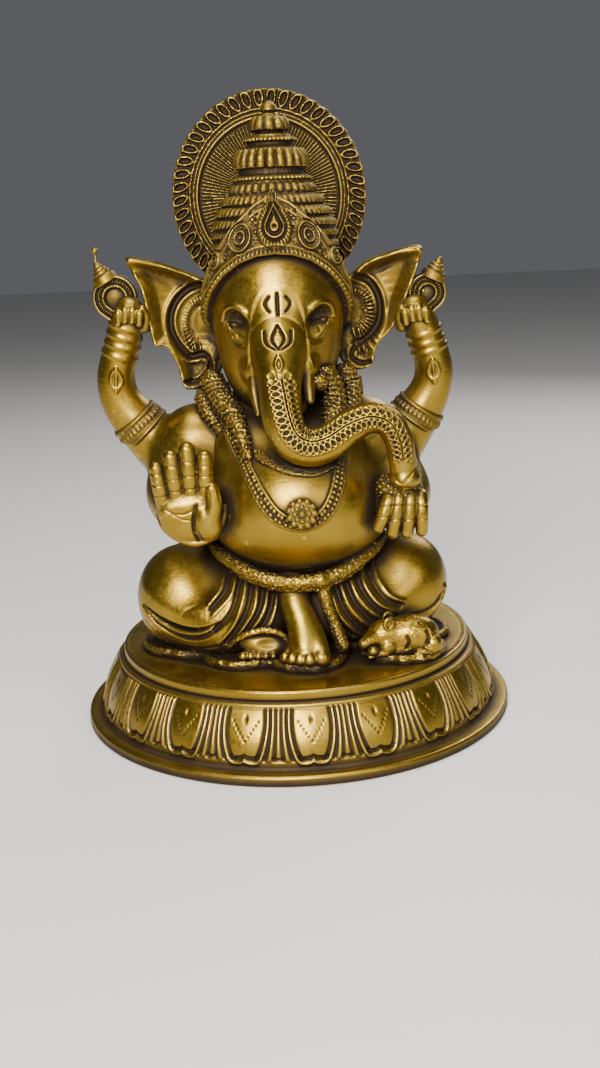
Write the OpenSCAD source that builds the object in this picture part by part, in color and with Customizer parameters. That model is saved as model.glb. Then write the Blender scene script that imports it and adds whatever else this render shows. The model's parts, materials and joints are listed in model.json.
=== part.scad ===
// Seated elephant-headed devotional figure in brass on a turned round pedestal.
// The figure is an assembly of separate castings, brazed at their seams and
// held on the hollow pedestal by two screws from below.
// +Z is up, +X is the viewer's right, the figure faces -Y, and the origin is
// the centre of the pedestal's foot.

/* [Pedestal] */
// Diameter of the pedestal's foot flange
base_d = 150; // [130:1:180]
// Height of the pedestal from its foot to the top ledge
base_h = 26; // [22:1:34]
// Wall thickness of the hollow pedestal
base_wall = 4; // [3:0.5:6]
// Height of the foot flange
flange_h = 3.5; // [3:0.5:5]

/* [Figure] */
// Height of the figure above the pedestal, to the top of the halo
figure_h = 186; // [160:1:200]
// Height of the rough ground slab that the figure is cast on
slab_h = 2.5; // [2:0.5:4]
// Wall thickness of the hollow torso
torso_wall = 5; // [4:0.5:7]

/* [Halo and crown] */
// Width of the oval halo plate
halo_w = 67; // [60:1:72]
// Thickness of the halo plate
halo_t = 3; // [2.5:0.5:4]
// Number of tiers in the crown
tier_count = 6; // [5:1:7]
// Number of petals round the halo's rim
halo_petals = 44; // [30:2:60]

/* [Screws] */
// Thread diameter of the screws that hold the figure to the pedestal
screw_d = 5; // [4:0.5:6]
// Distance between the two screws
screw_pitch = 48; // [40:1:56]

/* [Hidden] */

// The landmarks below are laid out for a figure 186 mm high.
k = figure_h / 186;
fine = 24;   // facets of the large rounded masses
mid = 16;    // facets of limbs
small = 10;  // facets of fingers and beads
// A landmark: x to the viewer's right, y back, z above the pedestal's ledge.
function at(x, y, z) = [x * k, y * k, base_h + z * k];
belly = at(3, -10, 50);
chest = at(-1, -1, 70);
neck = at(-1, 0, 86);
seat = at(0, 6, 16);
shoulder_r = at(-31, -2, 70);
shoulder_l = at(27, -2, 70);
skull = at(-1, -3, 107);
brow = at(-1, -5, 116);
cheek = at(-1, -9, 96);
halo_c = at(-2.3, 19, 150.5);
crown_c = at(-1, -2.5, 126);

halo_b = 35.5 * k;
halo_a = halo_w / 2 * k;

// Pedestal radii, from the foot flange inwards.
flange_r = base_d / 2;
band_foot_r = flange_r * 0.93;
band_top_r = flange_r * 0.84;
ledge_r = flange_r * 0.815;
ledge_h = 3.6;
band_foot_z = flange_h + 1;
band_top_z = base_h - ledge_h;
inner_top_r = ledge_r - base_wall;
inner_foot_r = band_foot_r - base_wall;
screw_x = screw_pitch / 2;
screw_y = 4;
screw_head_r = screw_d * 0.9;
screw_head_h = screw_d * 0.6;
washer_r = screw_d * 1.15;
washer_t = 1;
screw_grip = 9;
clearance = 0.3;
cavity_top = base_h - base_wall;

// Limb routes, each a list of [point, radius] laid out along the limb.
right_thigh = [[at(-15, 8, 18), 13], [at(-36, -9, 19), 16.5]];
right_shin = [[at(-38, -13, 13.5), 13.5], [at(-24, -24, 11), 10.5], [at(-10, -27, 14), 8.5]];
left_thigh = [[at(14, 8, 18), 13], [at(38, -8, 21), 15]];
left_shin = [[at(38, -10, 16), 12], [at(25, -21, 12), 9.5], [at(10, -25, 13), 7.5]];
right_foot_path = [[at(-2, -26, 24), 6], [at(1, -31, 15), 6], [at(3, -37, 7), 6.5], [at(4, -41, 4.2), 4.2]];
toe_xs = [-3, 0, 3, 6.6];
trunk_path = [
    [at(-1.3, -21.5, 106), 8.8], [at(-1.5, -28.2, 97.6), 8], [at(-1.5, -33, 89), 7.3],
    [at(-0.2, -36, 79), 6.8], [at(5, -37, 73), 6.2], [at(13.6, -37, 74.5), 5.6],
    [at(20.6, -36.5, 79), 5.3], [at(27, -36, 81), 5], [at(32.6, -35.5, 79), 4.8],
    [at(35.8, -35, 73.5), 4.6], [at(36.8, -34.5, 66.5), 4.4], [at(37.2, -34, 62), 4.2]
];
rear_arm_r = [
    [at(-37, 4, 62), 11], [at(-47, 4, 72), 9], [at(-56, 3, 84.5), 6.9],
    [at(-57, 2, 93), 6.2], [at(-53.5, 1, 105), 5.6]
];
rear_hand_r = [[at(-52.5, 0, 109), 6], [at(-50.5, -1, 115), 5.4]];
rear_arm_l = [
    [at(33, 4, 60), 11], [at(42, 4, 71), 9], [at(50, 3, 84), 6.8],
    [at(51, 2, 92), 6.2], [at(48.5, 1, 102), 5.6]
];
rear_hand_l = [[at(46.5, 0, 106), 6], [at(44.5, -1, 112), 5.4]];
front_arm_r = [[shoulder_r, 13], [at(-37, -4, 58), 10.5], [at(-38, -12, 52), 9.5], [at(-34, -24, 49), 7.5]];
front_arm_l = [[shoulder_l, 13], [at(34, -4, 58), 10], [at(38, -13, 50), 9], [at(37, -21, 49), 7.5]];

// Right hand, raised with the palm forward: [x, root height, tip height, radius].
palm_c = at(-32.4, -33, 51);
palm_y = -34;
right_fingers = [
    [-41.6, 57, 68, 2.5], [-36.9, 58, 73, 2.7], [-31.6, 59, 75.5, 2.8], [-26.6, 57.5, 72.5, 2.7],
];
right_thumb = [[at(-26.4, -35, 47), 4.2], [at(-23.6, -36, 55), 3], [at(-23.8, -36, 61), 2.5]];

// Left hand, fingers drooping over the sweet: [top x, foot x].
left_fingers = [[32.2, 28.6], [35.4, 33], [39, 37.8], [42.4, 42.2]];
left_finger_top = 55;
left_finger_foot = 42.5;
sweet_c = at(36.2, -28.5, 56);

// Ear outlines, seen from the front, as [x, z] landmarks on the figure.
ear_r_outline = [
    [-23, 121], [-30, 126.5], [-40, 130.5], [-49.5, 133], [-50, 131],
    [-46.5, 122], [-44, 113], [-41.5, 106], [-37, 101.5], [-34.5, 94],
    [-34.5, 87], [-28, 88], [-23, 94]
];
ear_l_outline = [
    [22, 121], [28, 127], [37, 130], [47, 132.5], [47.5, 130],
    [44, 121], [40, 111], [36, 105], [32.5, 101], [29.5, 94],
    [28.5, 88], [25, 88], [20, 94]
];
ear_t = 4;

// ---------- shared shapes ----------

module ball(p, r, facets = mid) {
    translate(p) sphere(r * k, $fn = facets);
}

module egg(p, radii, facets = fine) {
    translate(p) scale(radii * k) sphere(1, $fn = facets);
}

// A rounded limb through a route of [point, radius].
module limb(route, facets = mid) {
    for (i = [0 : len(route) - 2])
        hull() {
            ball(route[i][0], route[i][1], facets);
            ball(route[i + 1][0], route[i + 1][1], facets);
        }
}

// A round band across a limb, from p towards q.
module band(p, q, r, w) {
    d = q - p;
    l = norm(d);
    translate(p)
        rotate([0, acos(d[2] / l), atan2(d[1], d[0])])
            cylinder(r = r * k, h = w * k, center = true, $fn = fine);
}

// ---------- pedestal ----------

module pedestal_profile() {
    difference() {
        polygon([
            [0, base_h], [ledge_r - 0.6, base_h], [ledge_r, base_h - 0.6],
            [ledge_r, band_top_z], [band_top_r, band_top_z],
            for (i = [1 : 7])
                let (t = i / 8)
                [band_top_r + (band_foot_r - band_top_r) * sin(90 * t),
                 band_foot_z + (band_top_z - band_foot_z) * (1 - t)],
            [band_foot_r, band_foot_z], [flange_r - 1, flange_h],
            [flange_r, flange_h - 1], [flange_r, 0], [0, 0]
        ]);
        polygon([
            [-1, -1], [inner_foot_r, -1], [inner_foot_r, band_foot_z],
            [inner_top_r, band_top_z - 2], [inner_top_r - 2, cavity_top],
            [-1, cavity_top]
        ]);
    }
}

module pedestal() {
    color("darkgoldenrod") difference() {
        rotate_extrude($fn = 180) pedestal_profile();
        for (side = [-1, 1])
            translate([side * screw_x, screw_y, cavity_top - 1])
                cylinder(d = screw_d + 2 * clearance, h = base_wall + 2, $fn = 48);
    }
}

module base_screws() {
    color("silver") for (side = [-1, 1])
        translate([side * screw_x, screw_y, cavity_top - washer_t]) {
            cylinder(d = screw_d, h = screw_grip, $fn = 48);
            translate([0, 0, -screw_head_h]) difference() {
                cylinder(r = screw_head_r, h = screw_head_h, $fn = 48);
                translate([0, 0, screw_head_h / 4])
                    cube([screw_head_r * 3, 1, screw_head_h], center = true);
            }
        }
}

module screw_washers() {
    color("silver") for (side = [-1, 1])
        translate([side * screw_x, screw_y, cavity_top - washer_t])
            difference() {
                cylinder(r = washer_r, h = washer_t, $fn = 48);
                translate([0, 0, -1])
                    cylinder(d = screw_d + 2 * clearance, h = washer_t + 2, $fn = 48);
            }
}

// ---------- figure: seat and legs ----------

module slab_outline() {
    translate([0, 6 * k]) circle(r = 36 * k, $fn = 90);
    for (lobe = [[-36, -10, 17], [37, -10, 16], [4, -33, 13], [36, -28, 14], [-18, -28, 13]])
        translate([lobe[0], lobe[1]] * k) circle(r = lobe[2] * k, $fn = 60);
}

module ground_slab() {
    color("goldenrod") translate([0, 0, base_h]) difference() {
        linear_extrude(slab_h) slab_outline();
        for (side = [-1, 1])
            translate([side * screw_x, screw_y, -1])
                cylinder(d = screw_d, h = slab_h + 2, $fn = 48);
    }
}

module above_slab() {
    intersection() {
        children();
        translate([-100, -100, base_h + slab_h]) cube([200, 200, 300]);
    }
}

module torso_form() {
    egg(belly, [31.5, 31, 27]);
    egg(chest, [28, 19, 20]);
    hull() {
        egg(seat, [25, 20, 15], mid);
        egg(at(0, 4, 36), [25, 20, 12], mid);
    }
    hull() {
        ball(shoulder_r + [6, 3, 2] * k, 9);
        ball(shoulder_l + [-6, 3, 2] * k, 9);
    }
    hull() {
        ball(neck, 13);
        ball(chest, 15);
    }
}

module screw_shanks() {
    for (side = [-1, 1])
        translate([side * screw_x, screw_y, base_h - 1])
            cylinder(d = screw_d, h = screw_grip + 1, $fn = 24);
}

module torso() {
    color("gold") above_slab() difference() {
        torso_form();
        hull() {
            egg(belly + [-2, 4, -8] * k, [30, 29, 22] - torso_wall * [1, 1, 1], mid);
            translate([0, 6, base_h]) cylinder(r = 14 * k, h = 6, $fn = mid);
        }
        screw_shanks();
    }
}

module right_leg_form() {
    limb(right_thigh, fine);
    limb(right_shin);
}

module left_leg_form() {
    limb(left_thigh, fine);
    limb(left_shin);
}

module foot_form() {
    limb(right_foot_path);
    for (x = toe_xs)
        hull() {
            ball(at(x * 0.7 + 1, -39, 5), 2.4, small);
            ball(at(x, -44, 3.4), x > 4 ? 2.2 : 1.6, small);
        }
}

module right_leg() {
    color("gold") above_slab() difference() {
        right_leg_form();
        torso_form();
        foot_form();
        screw_shanks();
    }
}

module left_leg() {
    color("gold") above_slab() difference() {
        left_leg_form();
        torso_form();
        right_leg_form();
        foot_form();
        screw_shanks();
    }
}

module right_foot() {
    color("gold") above_slab() difference() {
        foot_form();
        torso_form();
    }
}

// The tucked foot, sole forward, shows below the crossed shin.
module left_foot_form() {
    egg(at(-10.5, -33, 6.6), [8.8, 4.6, 5], mid);
    for (i = [0 : 4])
        hull() {
            ball(at(-16 + 2.6 * i, -35.5, 5), 1.9 - 0.12 * i, small);
            ball(at(-17 + 2.8 * i, -38.4, 4.4), 1.7 - 0.12 * i, small);
        }
}

module left_foot() {
    color("gold") above_slab() difference() {
        left_foot_form();
        right_leg_form();
        foot_form();
    }
}

// ---------- figure: dress ----------

waist_step = 16;
waist_route = [
    for (a = [-4 : 4])
        let (turn = a * waist_step)
        at(2 + 28 * sin(turn), -6.5 - 25 * cos(turn), 30.5 + 5 * pow(sin(turn), 2))
];

module waistband() {
    color("darkgoldenrod") difference() {
        for (i = [0 : len(waist_route) - 2])
            hull() {
                ball(waist_route[i], 2.8, small);
                ball(waist_route[i + 1], 2.8, small);
            }
        torso_form();
        right_leg_form();
        left_leg_form();
        foot_form();
    }
}

pendant_c = at(4, -42.6, 52);
necklace_route = [
    at(-19, -17, 82), at(-14, -27, 73), at(-10, -34, 65), at(-4, -38.5, 56),
    at(4, -40.5, 51.5), at(11, -39.5, 55), at(15.5, -37.5, 62), at(17.5, -33, 70), at(18, -26, 77)
];

module necklace() {
    color("darkgoldenrod") difference() {
        for (i = [0 : len(necklace_route) - 2])
            hull() {
                ball(necklace_route[i], 3, small);
                ball(necklace_route[i + 1], 3, small);
            }
        torso_form();
        trunk_form();
        ball(pendant_c, 4.8, fine);
    }
}

// A round flower boss: a dished rim with a domed eye.
module pendant_form() {
    translate(pendant_c) rotate([82, 0, 0]) translate([0, 0, -1.6 * k]) scale(k)
        rotate_extrude($fn = 72)
            polygon([[0, 0], [4.6, 0], [4.9, 1], [4.2, 2], [2.8, 2.1], [2.3, 3.3], [1.2, 3.8], [0, 3.9]]);
}

module pendant() {
    color("darkgoldenrod") pendant_form();
}

// ---------- figure: front arms ----------

module right_front_arm_form() { limb(front_arm_r); }

module left_front_arm_form() { limb(front_arm_l); }

module right_hand_form() {
    egg(palm_c, [10.2, 4.4, 11], mid);
    for (f = right_fingers)
        hull() {
            ball(at(f[0] * 0.6 - 13, palm_y + 1, f[1] - 5), f[3], small);
            ball(at(f[0], palm_y, f[2]), f[3] - 0.3, small);
        }
    limb(right_thumb, small);
}

module left_hand_form() {
    for (f = left_fingers) {
        hull() {
            ball(at(f[0], -24, left_finger_top - 2), 2.4, small);
            ball(at(f[0], -31, left_finger_top), 2.3, small);
        }
        hull() {
            ball(at(f[0], -31, left_finger_top), 2.3, small);
            ball(at(f[1], -33, left_finger_foot), 2, small);
        }
    }
}

module sweet_form() { egg(sweet_c, [7.2, 5.6, 6], mid); }

module right_front_arm() {
    color("gold") difference() {
        right_front_arm_form();
        torso_form();
        right_leg_form();
        right_hand_form();
    }
}

module left_front_arm() {
    color("gold") difference() {
        left_front_arm_form();
        torso_form();
        left_leg_form();
        left_hand_form();
        sweet_form();
    }
}

module right_hand() {
    color("gold") difference() {
        right_hand_form();
        torso_form();
    }
}

module left_hand() {
    color("gold") difference() {
        left_hand_form();
        torso_form();
        left_leg_form();
        sweet_form();
        trunk_form();
    }
}

module hand_sweet() {
    color("goldenrod") difference() {
        sweet_form();
        trunk_form();
        torso_form();
    }
}

// ---------- figure: rear arms ----------

module rear_arm_r_form() {
    limb(rear_arm_r);
    limb(rear_hand_r);
}

module rear_arm_l_form() {
    limb(rear_arm_l);
    limb(rear_hand_l);
}

module right_rear_arm() {
    color("gold") difference() {
        rear_arm_r_form();
        torso_form();
        right_front_arm_form();
    }
}

module left_rear_arm() {
    color("gold") difference() {
        rear_arm_l_form();
        torso_form();
        left_front_arm_form();
    }
}

// Rings slipped over each rear arm before the emblem was brazed on.
module armlets() {
    color("darkgoldenrod") difference() {
        for (arm = [rear_arm_r, rear_arm_l]) {
            band(arm[2][0], arm[3][0], 7.8, 4);
            band(arm[4][0], arm[3][0], 6.8, 3);
        }
        rear_arm_r_form();
        rear_arm_l_form();
    }
}

// A bud-shaped emblem on a short stem, with a turned knob on its point.
module emblem(foot, lean) {
    translate(foot) rotate([0, lean, 0]) {
        scale([1, 0.5, 1] * k) rotate_extrude($fn = fine)
            polygon([[0, 0], [2.6, 0], [4.4, 4], [6.6, 9], [6.2, 14], [3.2, 18.4], [0, 19]]);
        translate([0, 0, 18 * k]) scale(k) rotate_extrude($fn = fine)
            polygon([[0, 0], [2.6, 0], [3, 1.4], [1.6, 3.8], [0.7, 5], [1.1, 6], [0, 7.2]]);
    }
}

module right_emblem() {
    color("goldenrod") difference() {
        emblem(at(-50.5, 0, 114), -22);
        rear_arm_r_form();
        ear_r_form();
    }
}

module left_emblem() {
    color("goldenrod") difference() {
        emblem(at(46, 0, 109.5), 15);
        rear_arm_l_form();
        ear_l_form();
    }
}

// Locks of hair that fall from behind the ears on to the shoulders.
module shoulder_locks() {
    color("goldenrod") for (side = [-1, 1])
        difference() {
            limb([
                [at(side * 19 - 2, -9, 85), 5],
                [at(side * 21 - 2, -13, 78), 4.6],
                [at(side * 19 - 2, -18, 71), 3.6],
            ], mid);
            torso_form();
            head_form();
            right_front_arm_form();
            left_front_arm_form();
            rear_arm_r_form();
            rear_arm_l_form();
            trunk_form();
            ear_r_form();
            ear_l_form();
            necklace();
            tusk_form(1);
            tusk_form(-1);
        }
}

// ---------- figure: head ----------

module head_form() {
    egg(skull, [21.8, 21, 24]);
    egg(brow, [21.8, 21.5, 20]);
    egg(brow + [0, 0, 4] * k, [21.8, 21.2, 26]);
    egg(cheek, [16, 17, 18]);
}

module trunk_form() { limb(trunk_path); }

module tusk_form(side) {
    hull() {
        ball(at(side * 8.8 - 0.8, -23, 95.5), 2.6, small);
        ball(at(side * 8.8 - 0.6, -31, 84.5), 1.5, small);
    }
}

// A thin cupped plate: its rim lies nearer the viewer than its root.
module ear_form(outline, side) {
    for (i = [0 : len(outline) - 2])
        hull() {
            ball(at(side * 24, 1, 108), ear_t / 2, small);
            ball(at(outline[i][0], -1, outline[i][1]), ear_t / 3, small);
            ball(at(outline[i + 1][0], -1, outline[i + 1][1]), ear_t / 3, small);
        }
}

module ear_r_form() { ear_form(ear_r_outline, -1); }

module ear_l_form() { ear_form(ear_l_outline, 1); }

module head() {
    color("gold") difference() {
        head_form();
        torso_form();
    }
}

module trunk() {
    color("gold") difference() {
        trunk_form();
        head_form();
        torso_form();
    }
}

module tusk(side) {
    color("khaki") difference() {
        tusk_form(side);
        head_form();
        trunk_form();
        torso_form();
    }
}

module right_tusk() { tusk(-1); }

module left_tusk() { tusk(1); }

module right_ear() {
    color("gold") difference() {
        ear_r_form();
        head_form();
        torso_form();
        rear_arm_r_form();
        right_front_arm_form();
    }
}

module left_ear() {
    color("gold") difference() {
        ear_l_form();
        head_form();
        torso_form();
        rear_arm_l_form();
        left_front_arm_form();
    }
}

// ---------- crown and halo ----------

// The pointed front plate, bent round the brow.
module tiara_form() {
    intersection() {
        difference() {
            egg(brow + [0, 0, 6] * k, [26, 24.5, 34]);
            egg(brow + [0, 0, 6] * k, [23, 21.5, 31]);
        }
        translate([0, -1 * k, 0]) rotate([90, 0, 0]) linear_extrude(60 * k)
            polygon([
                for (p = [
                    [-28, 116], [-25, 130], [-16, 144], [-7, 150.5], [-0.4, 154.2],
                    [6.6, 150], [15.4, 141.4], [23.6, 128], [26, 114],
                    [22, 118], [17, 126], [9, 131], [-0.6, 132.2], [-10, 131.4], [-18, 127], [-23, 119]
                ]) [p[0] * k, base_h + p[1] * k]
            ]);
    }
}

// Radius of the crown at a height t, from 0 at its foot to 1 at its top.
function crown_r(t) = 21.5 - 15.5 * t;
tier_h = 47 / tier_count;

module crown_form() {
    translate(crown_c) scale(k) rotate_extrude($fn = 72)
        polygon([
            [0, 0],
            for (i = [0 : tier_count - 1])
                let (z = i * tier_h, r = crown_r(i / tier_count))
                each [[r - 2.4, z], [r, z + tier_h * 0.25], [r, z + tier_h * 0.7], [r - 3.6, z + tier_h]],
            [0, tier_h * tier_count]
        ]);
}

module tiara() {
    color("goldenrod") difference() {
        tiara_form();
        head_form();
        ear_r_form();
        ear_l_form();
    }
}

module crown() {
    color("goldenrod") difference() {
        crown_form();
        head_form();
        tiara_form();
    }
}

module crown_finial() {
    color("goldenrod") translate(crown_c + [0, 0, tier_h * tier_count * k]) scale(k)
        rotate_extrude($fn = 48)
            polygon([[0, 0], [3.4, 0], [4, 1.5], [2.6, 3.2], [3, 4.4], [1.2, 6.2], [0, 6.8]]);
}

module halo_form() {
    translate(halo_c) rotate([90, 0, 0]) {
        linear_extrude(halo_t * k, center = true) scale([halo_a, halo_b]) circle(1, $fn = 96);
        for (i = [0 : halo_petals - 1])
            let (a = 360 * i / halo_petals)
            translate([(halo_a - 2.6 * k) * cos(a), (halo_b - 2.6 * k) * sin(a), halo_t * k / 2])
                rotate([0, 0, atan2(halo_a * sin(a), halo_b * cos(a))])
                    scale([2.4, 1.2, 0.9] * k) sphere(1, $fn = 8);
    }
}

module halo() {
    color("darkgoldenrod") difference() {
        halo_form();
        crown_form();
        head_form();
        torso_form();
        ear_r_form();
        ear_l_form();
    }
}

// ---------- attendants ----------

module mouse_form() {
    egg(at(38, -33.5, 8.6), [10.5, 6.6, 6.8], mid);
    hull() {
        ball(at(29, -35, 9), 4.6, small + 2);
        ball(at(23.4, -36.5, 6.4), 2.2, small);
    }
    for (y = [-32.5, -38])
        ball(at(29.6, y, 13), 2.1, small);
    limb([[at(47, -31.5, 5), 1.4], [at(49, -29, 3.8), 1.1], [at(46, -27, 3.6), 0.9]], small);
    for (x = [27, 42])
        hull() {
            ball(at(x + 2, -37, 4.6), 2.4, small);
            ball(at(x - 2.4, -38.6, 3.4), 1.5, small);
        }
}

module mouse() {
    color("goldenrod") above_slab() difference() {
        mouse_form();
        left_leg_form();
        foot_form();
    }
}

pedestal();
base_screws();
screw_washers();
ground_slab();
torso();
right_leg();
left_leg();
right_foot();
waistband();
necklace();
pendant();
right_front_arm();
right_hand();
left_front_arm();
left_hand();
hand_sweet();
right_rear_arm();
left_rear_arm();
armlets();
right_emblem();
left_emblem();
shoulder_locks();
head();
trunk();
right_tusk();
left_tusk();
right_ear();
left_ear();
tiara();
crown();
crown_finial();
halo();
mouse();
left_foot();
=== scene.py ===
"""A seated brass Ganesha on a lotus pedestal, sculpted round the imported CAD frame.

Each casting is modelled as a signed distance field on its own grid, in millimetres, and
meshed. Landmarks are laid out as in the CAD: x to the right, y back, z above the ledge.
"""
import json
import math

import bpy
import numpy as np
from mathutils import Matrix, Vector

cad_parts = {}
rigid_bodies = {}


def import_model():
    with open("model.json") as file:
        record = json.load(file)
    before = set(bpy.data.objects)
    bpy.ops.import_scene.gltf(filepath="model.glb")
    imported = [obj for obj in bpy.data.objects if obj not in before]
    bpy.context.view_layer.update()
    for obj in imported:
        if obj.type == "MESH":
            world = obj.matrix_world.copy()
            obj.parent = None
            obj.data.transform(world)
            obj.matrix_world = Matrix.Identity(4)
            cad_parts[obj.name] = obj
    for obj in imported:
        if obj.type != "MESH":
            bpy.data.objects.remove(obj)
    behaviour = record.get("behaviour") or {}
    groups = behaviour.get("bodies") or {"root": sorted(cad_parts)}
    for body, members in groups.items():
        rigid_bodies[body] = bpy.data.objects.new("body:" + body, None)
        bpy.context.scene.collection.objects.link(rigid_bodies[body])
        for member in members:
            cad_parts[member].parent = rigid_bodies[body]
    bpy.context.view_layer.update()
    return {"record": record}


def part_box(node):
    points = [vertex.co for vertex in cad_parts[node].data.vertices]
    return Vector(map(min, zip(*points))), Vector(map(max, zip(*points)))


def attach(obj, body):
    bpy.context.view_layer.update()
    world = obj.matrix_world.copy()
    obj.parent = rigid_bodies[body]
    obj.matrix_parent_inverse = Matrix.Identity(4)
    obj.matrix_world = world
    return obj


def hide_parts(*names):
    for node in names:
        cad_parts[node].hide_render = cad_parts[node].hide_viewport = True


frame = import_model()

import openvdb
from mathutils import Matrix, Vector

MM = 0.001
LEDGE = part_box("pedestal")[1][2] / MM
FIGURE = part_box("halo")[1][2] / MM - LEDGE
LAID_OUT = 186  # the height above the ledge of the figure that the landmarks are laid out for
UNIT = FIGURE / LAID_OUT  # one unit of the landmarks, in millimetres
FAR = 50.0  # a distance beyond any shape's reach
COARSE = 1.0
SEED = 7
DIP = 0.3  # how far a skin sinks under its neighbour's
CRUMB = 0.02  # a smaller share of the largest piece's points is a stray crumb
FORWARD = np.array([0, -1.0, 0])


def at(x, y, z):
    """A landmark of the figure, in millimetres of the shared frame."""
    return np.array([x * UNIT, y * UNIT, LEDGE + z * UNIT])


# ---------- shapes: a box and a distance ----------

class Shape:
    """A solid that knows its box and, for any points, their distance outside its skin."""

    def __init__(self, low, high, distance):
        self.low, self.high, self.distance = np.asarray(low), np.asarray(high), distance


def turn_matrix(degrees_xyz):
    """The rotation by three angles about X, then Y, then Z."""
    cx, cy, cz = np.cos(np.radians(degrees_xyz))
    sx, sy, sz = np.sin(np.radians(degrees_xyz))
    about_x = np.array([[1, 0, 0], [0, cx, -sx], [0, sx, cx]])
    about_y = np.array([[cy, 0, sy], [0, 1, 0], [-sy, 0, cy]])
    about_z = np.array([[cz, -sz, 0], [sz, cz, 0], [0, 0, 1]])
    return about_z @ about_y @ about_x


def ball(centre, radius):
    """A ball, as a rod of almost no length."""
    return rod(centre, centre + np.array([0, 0, 1e-3]), radius, radius)


def egg(centre, radii, turn=(0, 0, 0)):
    """An ellipsoid, turned by three angles in degrees."""
    radii = np.asarray(radii, float) * UNIT
    matrix = turn_matrix(turn)
    reach = np.abs(matrix) @ radii

    def distance(x, y, z):
        offset = (x - centre[0], y - centre[1], z - centre[2])
        local = [sum(matrix[j, i] * offset[j] for j in range(3)) for i in range(3)]
        level = np.sqrt(sum((v / r) ** 2 for v, r in zip(local, radii)))
        slope = np.sqrt(sum((v / r**2) ** 2 for v, r in zip(local, radii)))
        return level * (level - 1) / np.maximum(slope, 1e-6)

    return Shape(centre - reach, centre + reach, distance)


def rod(a, b, radius_a, radius_b):
    """A round-ended rod whose radius runs from radius_a to radius_b."""
    a, b = np.asarray(a, float), np.asarray(b, float)
    span = b - a
    square = max(span @ span, 1e-9)
    widest = max(radius_a, radius_b)

    def distance(x, y, z):
        px, py, pz = x - a[0], y - a[1], z - a[2]
        t = np.clip((px * span[0] + py * span[1] + pz * span[2]) / square, 0, 1)
        gap = np.sqrt((px - t * span[0]) ** 2 + (py - t * span[1]) ** 2 + (pz - t * span[2]) ** 2)
        return gap - (radius_a + (radius_b - radius_a) * t)

    return Shape(np.minimum(a, b) - widest, np.maximum(a, b) + widest, distance)


def spline(points, step=1.5):
    """A smooth route through points, with a sample about every step."""
    p = np.array([np.atleast_1d(q) for q in points], float)
    p = np.vstack([2 * p[0] - p[1], p, 2 * p[-1] - p[-2]])
    samples = []
    for a, b, c, d in zip(p[:-3], p[1:-2], p[2:-1], p[3:]):
        count = max(2, math.ceil(np.linalg.norm((c - b)[:3]) / step))
        t = (np.arange(count) / count)[:, None]
        bend = (2 * a - 5 * b + 4 * c - d) * t**2 + (3 * b - a - 3 * c + d) * t**3
        samples.append(b + 0.5 * ((c - a) * t + bend))
    return np.vstack(samples + [p[-2][None]])


def route(landmarks, step=1.5):
    """A smooth limb route: rows of x, y, z and radius, from landmarks of the figure."""
    return spline([[*at(x, y, z), r * UNIT] for x, y, z, r in landmarks], step)


def path(landmarks, step):
    """A smooth line through landmarks of the figure."""
    return spline([at(*mark) for mark in landmarks], step)


def lengths_along(points):
    """How far along a line each of its points lies."""
    return np.concatenate([[0], np.cumsum(np.linalg.norm(np.diff(points, axis=0), axis=1))])


def limb(landmarks, step=1.5):
    """Rods along a smooth limb route."""
    samples = route(landmarks, step)
    return [rod(a[:3], b[:3], a[3], b[3]) for a, b in zip(samples[:-1], samples[1:])]


def thread(points, radius=0.0):
    """Rods of one radius along points, such as a groove's centre line."""
    return [rod(a, b, radius, radius) for a, b in zip(points[:-1], points[1:])]


def ring(centre, axis, radius, thick, count=28):
    """A torus as a closed thread."""
    axis = np.asarray(axis, float) / np.linalg.norm(axis)
    side = np.cross(axis, [0.3, 0.9, 0.2])
    side /= np.linalg.norm(side)
    up = np.cross(axis, side)
    angles = np.linspace(0, 2 * np.pi, count + 1)
    points = [centre + radius * (np.cos(t) * side + np.sin(t) * up) for t in angles]
    return thread(points, thick)


# ---------- clay ----------

def smooth_min(a, b, blend):
    """The lesser of two distances, with the crease between them rounded."""
    if blend <= 0:
        return np.minimum(a, b)
    h = np.maximum(blend - np.abs(a - b), 0) / blend
    return np.minimum(a, b) - h * h * (blend / 4)


def smooth_max(a, b, blend):
    """The greater of two distances, rounded in the same way."""
    return -smooth_min(-a, -b, blend)


def bump(t):
    """A smooth hill of height 1 at t = 0."""
    return np.exp(-np.square(t))


def hills(distance, *rows):
    """Ridges, or grooves where negative, along a distance: rows of height, place and width."""
    return sum(height * bump((distance - place) / width) for height, place, width in rows)


def wave(run, pitch):
    """From -1 to 1, with a crest at every pitch."""
    return np.cos(2 * np.pi * run / pitch)


def step_up(value, low, high):
    """0 below low, 1 above high and smooth between."""
    t = np.clip((value - low) / (high - low), 0, 1)
    return t * t * (3 - 2 * t)


NOISE_CELLS = 32
NOISE = np.random.default_rng(SEED).random((NOISE_CELLS,) * 3).astype(np.float32)


def noise(x, y, z, size):
    """Smooth noise from -1 to 1 with hills about size apart."""
    cell, part = [], []
    for v in (x, y, z):
        v = np.asarray(v, np.float32) / size
        whole = np.floor(v)
        f = v - whole
        cell.append(whole.astype(np.int32))
        part.append(f * f * (3 - 2 * f))
    total = 0
    for i in (0, 1):
        for j in (0, 1):
            for k in (0, 1):
                weight = 1.0
                for f, side in zip(part, (i, j, k)):
                    weight = weight * (f if side else 1 - f)
                index = [(c + side) % NOISE_CELLS for c, side in zip(cell, (i, j, k))]
                total = total + weight * NOISE[index[0], index[1], index[2]]
    return 2 * total - 1


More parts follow.
